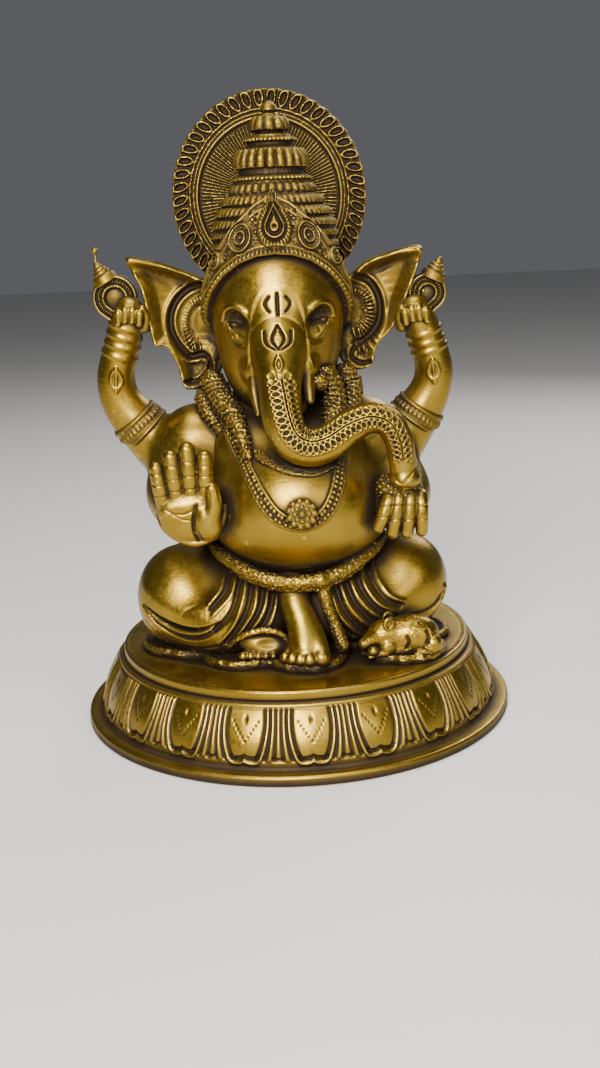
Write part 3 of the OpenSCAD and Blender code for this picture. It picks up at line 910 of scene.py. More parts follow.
def make_right_hand():
    """Raised in blessing, with the palm forward."""
    clay = Clay(at(-47, -42, 38), at(-16, -22, 80), 0.27)
    clay.field = clay.near([egg(at(-32.2, -32.5, 51.3), (9.9, 4.2, 9.6))])
    clay.add([rod(at(-38.2, -32.6, 54), at(-28.5, -32.6, 55), 3.4 * UNIT, 3.4 * UNIT)], 3.5)
    clay.add([egg(at(-26.4, -35, 49.3), (4.3, 3.4, 6.6), (0, -12, 0))], 0.5)
    # Each finger's root and tip, its radius and the heights of its joints.
    fingers = (
        (-40.4, 55.5, -42.0, 67.4, 2.5, (58.6, 62.2, 66)),
        (-36.0, 57.5, -37.1, 70.8, 2.85, (60, 64, 68.4)),
        (-31.3, 58, -31.8, 73.0, 2.9, (60.6, 65, 69.6)),
        (-26.8, 57, -26.3, 70.2, 2.8, (61, 64.8, 68)),
    )
    for x0, z0, x1, z1, radius, _ in fingers:
        middle = ((x0 + x1) / 2, -34.4, (z0 + z1) / 2, radius)
        clay.add(limb([(x0, -33, z0, radius), middle, (x1, -34.2, z1, radius * 0.93)], 1.0), 0.3)
    for x0, z0, x1, z1, radius, joints in fingers:
        for z in joints:
            x = x0 + (x1 - x0) * (z - z0) / (z1 - z0)
            clay.draw([(x - radius, z + 0.3), (x, z - 0.1), (x + radius, z + 0.3)], -0.3, 0.24)
    thumb = [(-25.6, -35.3, 50, 3.2), (-23.9, -36, 55.6, 2.5), (-24.4, -35.8, 60.3, 2.2)]
    clay.add(limb(thumb, 1.0), 0.5)
    clay.draw([(-41, 55), (-36, 52.6), (-31.5, 53.4), (-29.4, 55.6)], -0.45, 0.4)
    clay.draw([(-37.6, 52.6), (-34.6, 51), (-31.6, 50.4)], -0.3, 0.35)
    clay.draw([(-29.9, 55), (-30.9, 51), (-31, 47), (-30, 43.6)], -0.9, 0.5)
    cuff = [
        (-42.6, -30, 51), (-40.6, -32, 46.8), (-35.6, -33.5, 43.4), (-30.2, -34, 42.2),
        (-24.8, -33.5, 44.2), (-21.6, -32, 49.4), (-21, -30, 53),
    ]
    clay.add(thread(path(cuff, 0.8), 1.05 * UNIT), 0.4)
    clay.seam(clay.near(limb(RIGHT_FRONT_ARM)), 1.5, 1.2)
    place(clay.mesh("right_hand_casting"), "right_hand")


def make_left_hand():
    """Holds the sweet, with the fingers drooping over it."""
    clay = Clay(at(20, -42, 34), at(50, -14, 66), 0.26)
    clay.field = clay.near([egg(at(37.2, -25.5, 51), (8.6, 6, 6.5))])
    clay.add([egg(at(36.4, -26.5, 47), (7.2, 4.6, 6.4))], 2)
    # Each finger's knuckle and tip, and its radius.
    fingers = (
        (32.6, 54.2, 28.6, 44.4, 2.3), (35.7, 54.8, 33.2, 42.6, 2.35),
        (39.3, 54.6, 37.9, 42.4, 2.35), (42.7, 53.8, 42.7, 42.8, 2.25),
    )
    for x0, z0, x1, z1, radius in fingers:
        root, knuckle = (x0, -26, z0 - 1, radius), (x0, -31.5, z0, radius + 0.15)
        middle, tip = ((x0 + x1) / 2, -33.6, (z0 + z1) / 2, radius), (x1, -33, z1, radius * 0.9)
        clay.add(limb([root, knuckle, middle, tip], 1.0), 0.25)
    for x0, z0, x1, z1, radius in fingers:
        for t in (0.22, 0.6):
            x, z = x0 + (x1 - x0) * t, z0 + (z1 - z0) * t
            clay.draw([(x - radius, z), (x + radius, z + 0.2)], -0.28, 0.24)
    place(clay.mesh("left_hand_casting"), "left_hand")


def make_sweet():
    """A sweet of packed grains, spread over it on a spiral."""
    clay = Clay(at(26, -38, 46), at(47, -18, 65), 0.26)
    centre, grains, golden_turn = at(36, -28.4, 56.4), 120, 2.39996
    clay.field = clay.near([egg(centre, (7.4, 5.6, 5.4))])
    rng = np.random.default_rng(SEED)
    seeds = []
    for i in range(grains):
        rise = 1 - 2 * (i + 0.5) / grains
        turn = i * golden_turn
        wide = math.sqrt(1 - rise * rise)
        spot = np.array([7.3 * wide * math.cos(turn), 5.5 * wide * math.sin(turn), 5.3 * rise])
        seeds.append(ball(centre + spot * UNIT, (0.6 + 0.15 * rng.random()) * UNIT))
    clay.add(seeds, 0.2)
    place(clay.mesh("hand_sweet_grains"), "hand_sweet")


def ringed(clay, landmarks, heights):
    """Raised rings round a rear arm at given heights."""
    samples = route(landmarks, 0.8)
    for height in heights:
        i = int(np.argmin(np.abs(samples[:, 2] - (LEDGE + height * UNIT))))
        i = min(max(i, 1), len(samples) - 2)
        axis = samples[i + 1, :3] - samples[i - 1, :3]
        clay.raise_line(ring(samples[i, :3], axis, samples[i, 3], 0), 0.75, 0.75)


def leaf_mark(clay, centre, lean):
    """A raised leaf with a midrib, on the skin seen from the front."""
    (x, z), height = centre, 8
    for side in (-1, 1):
        outline = [(x - lean * 0.5, z - height / 2), (x + side * 1.9, z - height * 0.1),
                   (x + side * 1.2, z + height * 0.3), (x + lean * 0.5, z + height / 2)]
        clay.draw(outline, 0.55, 0.45)
    clay.draw([(x - lean * 0.4, z - height * 0.35), (x + lean * 0.4, z + height * 0.35)], 0.6, 0.5)


def make_rear_arm(node, landmarks, front_arm, rings, leaf):
    """A raised arm with bracelets and a leaf mark, and a hand closed forward."""
    shapes = limb(landmarks)
    low, high = box_round(shapes, 6)
    clay = Clay(low, high, 0.34)
    clay.field = clay.near(shapes)
    side = np.sign(landmarks[0][0])
    tip_x, tip_y, tip_z, _ = landmarks[-1]
    for i, rise in enumerate((0.6, 1.4, 1.2, 0.2)):
        x, z = tip_x + side * (3.4 - 2.3 * i), tip_z + rise
        root, knuckle = at(x, tip_y - 1.5, z - 0.5), at(x, tip_y - 4.6, z - 1.2)
        bend, end = at(x, tip_y - 4.8, z - 1.4), at(x + 0.3 * side, tip_y - 5, z - 4.6)
        clay.add([rod(root, knuckle, 1.5 * UNIT, 1.5 * UNIT)], 0.5)
        clay.add([rod(bend, end, 1.4 * UNIT, 1.1 * UNIT)], 0.35)
    thumb = [
        (tip_x - side * 4.6, tip_y - 1, tip_z - 6, 1.9),
        (tip_x - side * 5.4, tip_y - 2.4, tip_z - 2.6, 1.6),
        (tip_x - side * 4.4, tip_y - 3.6, tip_z + 0.4, 1.4),
    ]
    clay.add(limb(thumb, 0.8), 0.3)
    ringed(clay, landmarks, rings)
    leaf_mark(clay, leaf, side * -0.6)
    body = smooth_min(clay.form(TORSO), clay.near(limb(front_arm)), 5)
    clay.seam(body, 4, 3.6)
    place(clay.mesh(node + "_casting"), node)


def make_armlets():
    """A beaded band between plain rims, round each rear upper arm."""
    clay = Clay(at(-68, -8, 70), at(62, 14, 90), 0.3)
    for landmarks in (RIGHT_REAR_ARM, LEFT_REAR_ARM):
        samples = route(landmarks, 0.6)
        gap, along, arc, radius = clay.track(samples, [FORWARD] * len(samples), 5)
        heights = [LEDGE + 73.5 * UNIT, LEDGE + 79 * UNIT]
        start, end = np.interp(heights, samples[:, 2], lengths_along(samples[:, :3]))
        t, half = along - (start + end) / 2, (end - start) / 2
        beads = 0.6 * np.abs(np.cos(np.pi * arc / 1.7)) * bump(t / 1.1)
        rims = 0.55 * bump((np.abs(t) - half + 0.9) / 0.6)
        shell = np.maximum(gap - radius - 0.5 - beads - rims, np.abs(t) - half)
        clay.field = np.minimum(clay.field, np.maximum(shell, radius - 1.2 - gap))
    place(clay.mesh("arm_bands"), "armlets")


# ---------- emblems held in the rear hands ----------

def teardrop(x, z, foot_radius, height):
    """The distance to a drop that stands on a round foot and comes to a point."""
    x = np.abs(x)
    b = foot_radius / height
    a = math.sqrt(1 - b * b)
    along = x * -b + z * a
    round_end = np.hypot(x, z) - foot_radius
    tip = np.hypot(x, z - height)
    side = x * a + z * b - foot_radius
    return np.where(along < 0, round_end, np.where(along > a * height, tip, side))


def make_emblem(node, centre, lean, size, knob):
    """A drop with nested beaded ribs, its narrow end in the hand, under a stepped cone."""
    middle = at(*centre)
    low, high = middle - 18, middle + 18
    low[1], high[1] = middle[1] - 6 * UNIT, middle[1] + 6 * UNIT
    clay = Clay(low, high, 0.25)
    x, y, z = clay.grid()
    c, s = math.cos(math.radians(lean)), math.sin(math.radians(lean))
    u = c * (x - middle[0]) - s * (z - middle[2])
    v = s * (x - middle[0]) + c * (z - middle[2])
    deep = np.abs(y - middle[1])
    drop = teardrop(u, -v, size, size * 2.3)
    thick = 1.9 + 0.9 * np.clip(-drop / size, 0, 1)
    beads = 0.5 + 0.5 * wave(np.arctan2(v, u) * size, 1.25)
    beaded = hills(drop, (0.8, -2.1, 0.45), (0.28, -3.5, 0.4)) * beads
    plain = hills(drop, (0.75, -0.6, 0.45), (-0.5, -1.3, 0.3), (-0.4, -2.8, 0.3), (0.42, -3.5, 0.4))
    relief = (beaded + plain - 1.1 * step_up(-drop, 4.0, 4.6)) * step_up(deep, 0.4, 1.2)
    clay.field = smooth_max(drop, deep - thick * UNIT, 0.8) - relief
    steps = [-2.0, 0.2, 0.9, 1.1, 2.2, 2.4, 3.4, 3.6, 4.6, 5.8]
    turned = np.interp(v - size, steps, [4.4, 4.0, 3.7, 3.0, 3.0, 2.3, 2.2, 1.5, 1.3, 0.4])
    cone = np.maximum(np.hypot(u, y - middle[1]) - turned, np.abs(v - size - 1.9) - 3.9)
    clay.field = smooth_min(clay.field, cone * 0.8, 0.4)
    if knob:
        top = middle + np.array([s, 0, c]) * (size + 5.2)
        clay.add([rod(top, top + [0, 0, 3.6], 0.5, 0.45), ball(top + [0, 0, 4.2], 1.15)], 0.3)
    place(clay.mesh(node + "_casting"), node)


# ---------- head ----------

# Degrees that the trunk's ornament leans from straight forward, at even steps down it.
TRUNK_FACING = (0, 0, 0, 0, 0, 8, 20, 28, 30, 24, 16, 10, 4, 0, 0)
# How softly the head and trunk run together, and how far past its own skin each keeps the blend.
HEAD_BLEND = 9
HEAD_REACH = 2.8


def trunk_frame():
    """The trunk's route, and at each sample the direction that its ornament faces."""
    samples = route(TRUNK_ROUTE, 1.2)
    steps = np.linspace(0, 1, len(samples))
    leans = np.radians(np.interp(steps, np.linspace(0, 1, len(TRUNK_FACING)), TRUNK_FACING))
    facing = []
    for a, b, lean in zip(samples[:-1, :3], samples[1:, :3], leans):
        tangent = (b - a) / np.linalg.norm(b - a)
        side = np.array([-tangent[2], 0, tangent[0]])
        side /= max(np.linalg.norm(side), 1e-6)
        facing.append(math.cos(lean) * FORWARD + math.sin(lean) * side)
    return samples, facing


def trunk_ornament(clay):
    """Two rows of scales either side of a double rib, running down the trunk's face."""
    samples, facing = trunk_frame()
    _, along, arc, radius = clay.track(samples, facing, 3)
    end = lengths_along(samples[:, :3])[-1]
    shown = step_up(along, 36.5, 38) * (1 - step_up(along, end - 7, end - 5))
    across = np.abs(arc) / np.clip(radius / 6.6, 0.6, 1.1)
    pitch = 1.85
    phase = ((along / pitch) % 1 - 0.5) * pitch
    loop = np.hypot(phase / 0.78, (across - 2.7) / 1.5) - 1
    scales = hills(loop, (0.75, 0, 0.3), (-0.22, -1, 0.45)) - 0.3
    rib = hills(across, (0.7, 0.45, 0.3), (-0.5, 0, 0.2))
    rim = hills(across, (0.5, 4.7, 0.35))
    clay.field -= shown * ((1 - step_up(across, 4.5, 4.9)) * (scales + rib) + rim)


def circle(x, z, radius):
    """Landmarks round a circle seen from the front, back to its start."""
    turns = np.linspace(0, 2 * np.pi, 9)
    return [(x + radius * math.cos(t), z + radius * math.sin(t)) for t in turns]


def make_trunk():
    """The trunk, with its engraved marks above and its ornament below."""
    clay = Clay(at(-16, -48, 54), at(46, -10, 116), 0.28)
    clay.field = clay.near(limb(TRUNK_ROUTE, 1.2))
    clay.add([egg(at(37.6, -35, 60.6), (4.8, 4.4, 3.2))], 1.5)
    clay.seam(clay.form(HEAD), HEAD_BLEND, HEAD_REACH)
    forehead_mark(clay)
    clay.draw([(-1.2, 101.8), (-0.1, 99.2), (-1.2, 97), (-2.3, 99.2), (-1.2, 101.8)], 0.65, 0.4)
    for x in (-3.7, 1.4):
        clay.draw(circle(x, 95.4, 1.4), 0.55, 0.4)
    trunk_ornament(clay)
    clay.cut([egg(at(37.6, -38, 57.6), (2.6, 1.4, 1.0))], 0.4)
    clay.draw([(33.8, 61.6), (36, 60), (39, 62.6), (41, 64.5)], -0.5, 0.4)
    place(clay.mesh("trunk_casting"), "trunk")


RIGHT_BROW = [
    (-7.4, 104.8), (-8.2, 108.8), (-10.5, 113.6), (-13, 116), (-15.6, 116.6), (-17.9, 115.2),
    (-19.1, 112),
]
LEFT_BROW = [
    (6.3, 105.6), (6.8, 109.4), (8.9, 113.8), (11.4, 116.2), (14, 116.8), (16.3, 115.2),
    (17.4, 112),
]


def eye(clay, inner, outer, brow_arch):
    """An almond eye deep in a slanting hollow, with lids, under one arched brow."""
    inner, outer = np.array(inner), np.array(outer)
    run = outer - inner
    side = np.sign(outer[0])
    up = np.array([-run[1], run[0]]) * side / np.linalg.norm(run)
    x, z = (inner + outer) / 2
    tilt = math.degrees(math.atan2(run[1], abs(run[0])))
    middle = at(x, 0, z)
    middle[1] = clay.front(middle[0], middle[2])
    facing = (0, -side * tilt, side * 30)
    clay.cut([egg(middle + [side * 0.2, -0.6, 1.7], (7.4, 6.6, 5.0), facing)], 1.5)
    clay.add([egg(middle + [0, 5.2, -0.4], (4.9, 3.2, 2.4), facing)], 0.4)
    steps = np.linspace(0, 1, 6)
    for rise, height, width in ((1.9, 0.9, 0.42), (-1.8, 0.8, 0.42), (3.3, 0.6, 0.38), (-3.1, 0.4, 0.38)):
        lid = [tuple(inner + run * t + up * rise * math.sin(math.pi * t) ** 0.8) for t in steps]
        clay.draw(lid, height, width)
    clay.draw(circle(x, z + 0.1, 1.1), -0.5, 0.3)
    clay.draw(brow_arch, 1.4, 0.85)


def forehead_mark(clay):
    """A plain engraved spindle between two crescents, over an engraved lotus bud."""
    middle, bud = -0.8, -1.1
    clay.draw([(middle, 120.4), (middle, 117), (middle, 113.6)], -1.1, 0.36)
    clay.draw([(middle, 118.6), (middle, 115.4)], -0.8, 0.62)
    crescent = [(2.7, 119.4), (4.1, 117.2), (2.7, 114.8)]
    petals = ([(0, 103.4), (2.0, 106.6), (0, 110.6)], [(1.0, 103.4), (3.9, 105.2), (4.3, 108.8)])
    for side in (-1, 1):
        clay.draw([(middle + side * x, z) for x, z in crescent], -1.1, 0.34)
        for petal in petals:
            clay.draw([(bud + side * x, z) for x, z in petal], -1.1, 0.34)


def make_head():
    """The head, with its eyes, tusk sockets, mouth and the ribs before the ears."""
    clay = Clay(at(-28, -44, 76), at(26, 22, 149), 0.3)
    clay.field = clay.form(HEAD)
    eye(clay, (-8.4, 104.2), (-17.0, 111.0), RIGHT_BROW)
    eye(clay, (6.8, 105.0), (15.4, 111.2), LEFT_BROW)
    trunk = clay.near(limb(TRUNK_ROUTE, 1.2), HEAD_BLEND + 2)
    clay.seam(trunk, HEAD_BLEND, HEAD_REACH, over=trunk)
    forehead_mark(clay)
    for side, x in ((-1, -21.4), (1, 19.4)):
        for shift in (0, 1.9):
            rib = [
                (x + side * (0.9 - shift * 0.2), -8 + shift, 122), (x + side * 0.6, -7 + shift, 113),
                (x - side * 0.8, -7.5 + shift, 104), (x - side * 5, -10 + shift, 94),
            ]
            clay.add(thread(path(rib, 1), 0.8 * UNIT), 0.5)
    for x in (-9.6, 8):
        clay.add([egg(at(x, -23.5, 96), (3.2, 4.2, 4.2))], 2.5)
    clay.add([egg(at(-1.2, -22, 84), (8.5, 6, 5), (20, 0, 0))], 3)
    clay.draw([(-8, 88), (-3, 86), (2, 86), (7, 88)], -0.6, 0.6)
    place(clay.mesh("head_casting", 1), "head")


def make_tusk(node, side, tip):
    """A short tusk in a collar; its tip is a landmark and a radius."""
    x = side * 8.6 - 0.7
    shapes = limb([(x, -24.5, 95.5, 2.3), (x + side * 0.1, -28.6, 90.5, 2.0), tip], 0.8)
    low, high = box_round(shapes, 2)
    clay = Clay(low, high, 0.2)
    clay.field = clay.near(shapes)
    clay.add(ring(at(x, -25.8, 94), (side * 0.1, -0.6, -0.8), 2.2, 0.5), 0.3)
    place(clay.mesh(node + "_casting"), node)


# ---------- ears ----------

def polygon_distance(outline, x, z):
    """The signed distance to a closed outline, on a sheet of x and z."""
    gap = np.full(np.broadcast(x, z).shape, FAR**2)
    inside = np.zeros(gap.shape, bool)
    for a, b in zip(outline, np.roll(outline, -1, 0)):
        span = b - a
        t = np.clip(((x - a[0]) * span[0] + (z - a[1]) * span[1]) / (span @ span + 1e-9), 0, 1)
        gap = np.minimum(gap, (x - a[0] - t * span[0]) ** 2 + (z - a[1] - t * span[1]) ** 2)
        crosses = (a[1] > z) != (b[1] > z)
        inside ^= crosses & (x < (b[0] - a[0]) * (z - a[1]) / (b[1] - a[1] + 1e-12) + a[0])
    return np.where(inside, -1, 1) * np.sqrt(gap)


def line_distance(points, x, z):
    """The distance to an open line on a sheet, and the length along it."""
    gap = np.full(np.broadcast(x, z).shape, FAR)
    along = np.zeros_like(gap)
    for a, b, length in zip(points[:-1], points[1:], lengths_along(points)):
        span = b - a
        run = np.hypot(*span)
        t = np.clip(((x - a[0]) * span[0] + (z - a[1]) * span[1]) / run**2, 0, 1)
        here = np.hypot(x - a[0] - t * span[0], z - a[1] - t * span[1])
        closer = here < gap
        gap = np.where(closer, here, gap)
        along = np.where(closer, length + t * run, along)
    return gap, along


def flat(points, step=1.0):
    """A smooth line on the sheet of x and z, from landmarks."""
    return spline([at(x, 0, z)[[0, 2]] for x, z in points], step)


RIGHT_EAR = {
    "outline": [(-21, 123), (-27, 125.4), (-34, 128.6), (-43.5, 131.8), (-50.4, 132.8), (-48.6, 127.5),
                (-46.2, 121.5), (-45, 114), (-44, 107.5), (-43, 103.2), (-39.3, 102.6), (-36.2, 97),
                (-34.9, 91.5), (-33, 88), (-27, 88.4), (-22, 92), (-19, 105)],
    "concha": [(-26.5, 123), (-30.6, 121.6), (-34.6, 118.4), (-37.1, 113.6), (-37.3, 108), (-35, 102.6),
               (-31.4, 99), (-27, 99.4)],
    "lobe": [(-31.6, 98.6), (-27.4, 99.8), (-24.9, 97.4), (-25.6, 93.4), (-29.4, 90.6), (-33.4, 90.4)],
    "rim": [(-22.6, 121.4), (-27, 124.6), (-34, 127.6), (-43.5, 130.6), (-49, 131.6)],
    "tip": -50.4,
}
LEFT_EAR = {
    "outline": [(19, 122), (24.4, 124.4), (29.4, 128.4), (38, 131.2), (45.4, 132.8), (47.8, 131),
                (46, 125), (43.4, 118.4), (41, 112.6), (38.6, 107.4), (35.8, 103.8), (33, 101),
                (31.2, 97), (30.4, 93.6), (25, 92), (20, 95), (17, 105)],
    "concha": [(25, 123.6), (29.6, 121.8), (32.6, 117.6), (33.6, 112), (32.4, 106.6), (29, 102.8),
               (24.6, 101.4)],
    "lobe": [(27.4, 101.4), (24.4, 99.4), (23.4, 96.4), (26, 94.4), (29.4, 94.4)],
    "rim": [(20.6, 120.6), (24.4, 123.4), (29.4, 127.2), (38, 130), (46, 131.2)],
    "tip": 47.8,
}


def upright(values):
    """A sheet of x and z, carried through y."""
    return values[:, None, :]


def make_ear(node, marks):
    """A cupped fan with a rolled rim, a ribbed inner fold and a curled lobe."""
    side = np.sign(marks["tip"])
    inner, outer = sorted((16 * side, marks["tip"] + 4 * side))
    clay = Clay(at(inner, -10, 83), at(outer, 9, 138), 0.3)
    x, y, z = clay.grid()
    sheet_x, sheet_z = x[:, 0, :], z[0, :, :]
    edge = polygon_distance(flat(marks["outline"] + marks["outline"][:1]), sheet_x, sheet_z)
    gap, along = line_distance(flat(marks["concha"]), sheet_x, sheet_z)
    lobe, _ = line_distance(flat(marks["lobe"]), sheet_x, sheet_z)
    rim, _ = line_distance(flat(marks["rim"]), sheet_x, sheet_z)
    out = np.clip((np.abs(sheet_x) - 22) / 26, 0, 1)
    middle = 2.2 - 5.2 * out + 3.4 * np.sin(np.pi * out) * step_up(-edge, 0.5, 5)
    centre = at(24.5 * side, 0, 108)
    inward = step_up(np.hypot(sheet_x - centre[0], (sheet_z - centre[2]) * 0.75), 9.5, 7.5)

    rolled = hills(rim, (1.5, 0, 1.2), (-0.5, 3, 1.2)) + hills(edge, (0.25, -0.7, 0.6))
    fold = hills(gap, (-1.7, 0, 0.85)) + hills(gap, (0.8, 1.6, 0.9)) * (1 - inward)
    ribs = hills(gap, (0.75, 3.1, 1.9)) * wave(along, 1.7)
    hollow = inward * (ribs + hills(gap, (0.8, 3.4, 2.4), (-0.7, 7, 1.6)))
    curl = hills(lobe, (-1.0, 0, 0.6), (0.5, 1.4, 0.8))
    pleats = 0.14 * np.cos(np.arctan2(sheet_z - centre[2] - 8, np.abs(sheet_x) - 22) * 34)
    pleats = pleats * step_up(gap, 3, 6) * (1 - inward)
    relief = (rolled + fold + hollow + curl + pleats) * step_up(-edge, -0.2, 0.6)

    front = 1 - step_up(y - upright(middle), -0.6, 0.4)
    plate = np.abs(y - upright(middle)) - 1.5 * UNIT
    clay.field = smooth_max(np.broadcast_to(upright(edge), clay.size), plate, 1.3)
    clay.field = clay.field - upright(relief) * front
    grain = np.clip(inward * bump((gap - 4.5) / 2.5) + bump((lobe - 2) / 1.4), 0, 1)
    clay.roughen(0.3, 0.9, upright(grain) * front)
    place(clay.mesh(node + "_casting"), node)


# ---------- locks on the shoulders ----------

def make_locks():
    """Ringlets that fall from behind the ears on to the shoulders, ribbed across."""
    clay = Clay(at(-36, -38, 56), at(34, 0, 96), 0.3)
    strands = (
        [(-24, -6, 91, 3.6), (-21, -11, 86, 3.8), (-16.6, -18.6, 80, 3.2), (-14.2, -23.6, 74, 2.5),
         (-13, -27, 69, 2)],
        [(-28, -5, 86, 2.2), (-26, -10, 82, 2.4), (-22, -14.6, 76.6, 2), (-18.6, -18.6, 72, 1.6)],
        [(13.6, -19, 94, 3.2), (15.6, -18.6, 88.6, 3.6), (16, -19.6, 82.6, 3.4), (14.6, -24, 77, 2.8)],
        [(20.6, -8, 92, 3.2), (22.6, -8.6, 87.4, 3.4), (22, -12, 82, 3), (19.6, -17, 77, 2.4)],
    )
    for strand in strands:
        samples = route(strand, 1.0)
        facing = [np.array([0.2, -1.0, 0.3])] * len(samples)
        gap, along, arc, radius = clay.track(samples, facing, 4)
        coil = 0.55 * np.abs(np.cos(np.pi * (along + 0.35 * arc) / 1.9)) - 0.25
        clay.field = smooth_min(clay.field, gap - radius - coil, 0.4)
    clay.add([ball(at(11.6, -25.2, 91.6), 2.4 * UNIT)], 0.2)
    clay.roughen(0.8, 1.0)
    place(clay.mesh("shoulder_ringlets"), "shoulder_locks")


# ---------- tiara, crown and halo ----------

TIARA_CENTRE = at(-1, -5, 122)
TIARA_RADII = (24.4, 23, 32.4)
# The plate's top and foot: degrees round from the front, and heights.
TIARA_TOP = (
    [0, 5, 10, 18, 28, 40, 52, 64, 76, 90],
    [154.2, 151.8, 150.6, 149.6, 147, 142.4, 136, 128, 120.4, 112],
)
TIARA_FOOT = ([0, 15, 30, 45, 60, 75, 90], [132.4, 131.8, 129.8, 126, 120.6, 114.6, 108])
DROP_Z = 141.0
# The roundels on each side: degrees from the front, height and size.
ROUNDELS = ((30.5, 137.8, 4.7), (54, 131.0, 3.1))


def tiara_jewel(drop, u, v):
    """The relief of the drop in the middle: a ribbed rim, two ribs and a sunk eye."""
    ribbed = 0.72 + 0.28 * wave(np.arctan2(v - DROP_Z - 0.6, u) * 6, 1.2)
    ribs = hills(drop, (1.35, -3.1, 0.42), (-0.5, -2.2, 0.3), (-0.45, -4.1, 0.35))
    boss = 1.15 * step_up(-drop, 4.5, 5.0) - hills(np.hypot(u, v - DROP_Z), (1.1, 0, 0.6))
    return hills(drop, (0.95, -1.0, 0.9)) * ribbed + ribs + boss


def make_tiara():
    """The pointed front plate: a drop between roundels on a grained ground."""
    clay = Clay(at(-29, -32, 106), at(27, 3, 157), 0.235)
    x, y, z = clay.grid()
    shell = clay.near([egg(TIARA_CENTRE, TIARA_RADII)], 40)
    turn = np.arctan2(x - TIARA_CENTRE[0], -(y - TIARA_CENTRE[1]))
    reach = TIARA_RADII[0] * UNIT
    u, v = turn * reach, (z - LEDGE) / UNIT
    bent = np.abs(np.degrees(turn))
    tall = (v - np.interp(bent, *TIARA_TOP)) * np.where(bent > 25, 0.62, 0.8)
    low = (np.interp(bent, *TIARA_FOOT) - v) * 0.85
    edge = np.maximum(tall, low)

    top_rib = hills(tall, (1.15, -1.0, 0.85), (0.6, -3.2, 0.4))
    brow_beads = hills(low, (0.85, -0.9, 0.6)) * (0.55 + 0.45 * wave(u, 1.5))
    foot_rib = hills(low, (0.75, -2.5, 0.5))
    drop = teardrop(u - 0.4, v - DROP_Z, 6.5, 12.8)
    jewel = np.where(drop < 0.4, tiara_jewel(drop, u - 0.4, v) + 0.4, 0)
    relief = top_rib + brow_beads + foot_rib + jewel
    ground = step_up(-tall, 3.6, 4.4) * step_up(-low, 3.2, 4.0) * step_up(drop, 0.5, 1.0)
    for side in (-1, 1):
        for where, height, size in ROUNDELS:
            across, up = u - side * math.radians(where) * reach, v - height
            away = np.hypot(across - 0.2, up)
            dots = 0.6 + 0.4 * np.cos(np.arctan2(up, across) * 22)
            rosette = hills(away, (1.3, size - 0.6, 0.5), (1.2, size * 0.42, 0.45), (0.9, 0, 0.5))
            rosette = rosette + hills(away, (0.55, size * 0.68, 0.3)) * dots
            relief = np.where(away < size + 0.4, rosette, relief)
            ground = ground * step_up(away, size + 0.3, size + 0.8)

    fade = step_up(-edge, -0.2, 0.4)
    ground = ground * step_up(shell, -1.2, -0.4)
    clay.field = np.maximum(np.maximum(shell - 0.4 - relief * fade, -(shell + 4.4)), edge)
    clay.field = clay.field + 0.5 * ground
    clay.roughen(1.3, 0.95, ground)
    clay.field = np.maximum(clay.field, -(clay.form(HEAD) + 1.2))
    place(clay.mesh("tiara_plate"), "tiara")


CROWN_AXIS = at(-1, -2.5, 0)
CROWN_FOOT, CROWN_TOP = 121, 176
# Each tier: its foot, its height, its radius at the foot, its petals and their depth.
CROWN_TIERS = (
    (121.0, 2.6, 21.6, 66, 0.9), (124.3, 2.6, 21.7, 66, 0.9), (127.6, 2.6, 21.7, 66, 0.9),
    (130.9, 2.6, 21.7, 66, 0.9), (134.2, 2.6, 21.7, 66, 0.9), (137.5, 2.6, 21.6, 64, 0.9),
    (140.8, 2.7, 21.3, 62, 0.9), (144.3, 2.7, 19.9, 56, 0.9), (147.8, 2.8, 17.7, 48, 0.9),
    (151.4, 3.0, 15.0, 32, 1.2), (155.4, 1.2, 13.8, 56, 0.8), (159.2, 5.8, 12.9, 22, 1.6),
    (167.4, 1.2, 9.3, 38, 0.8), (170.8, 4.4, 6.9, 10, 1.3),
)
# Behind the tiers: heights and radii.
CROWN_CORE = (
    [120, 141, 145, 149, 153, 156.6, 157, 159, 165, 165.4, 166.2, 169.4, 170, 176],
    [19.8, 19.6, 17.8, 15.4, 12.9, 12.2, 10.6, 10.4, 9.8, 8.4, 7.4, 7, 4.6, 2.8],
)
FINIAL = ([173, 174, 175.2, 176.2, 177.2, 178.6, 179.6, 180.2], [3, 3.9, 3.5, 2.1, 2.9, 2.4, 1.2, 0.2])


def round_crown(clay):
    """For each cell, its distance from the crown's axis, its turn round it and its height."""
    x, y, z = clay.grid()
    px, py = x - CROWN_AXIS[0], y - CROWN_AXIS[1]
    return np.hypot(px, py), np.arctan2(px, -py), (z - LEDGE) / UNIT


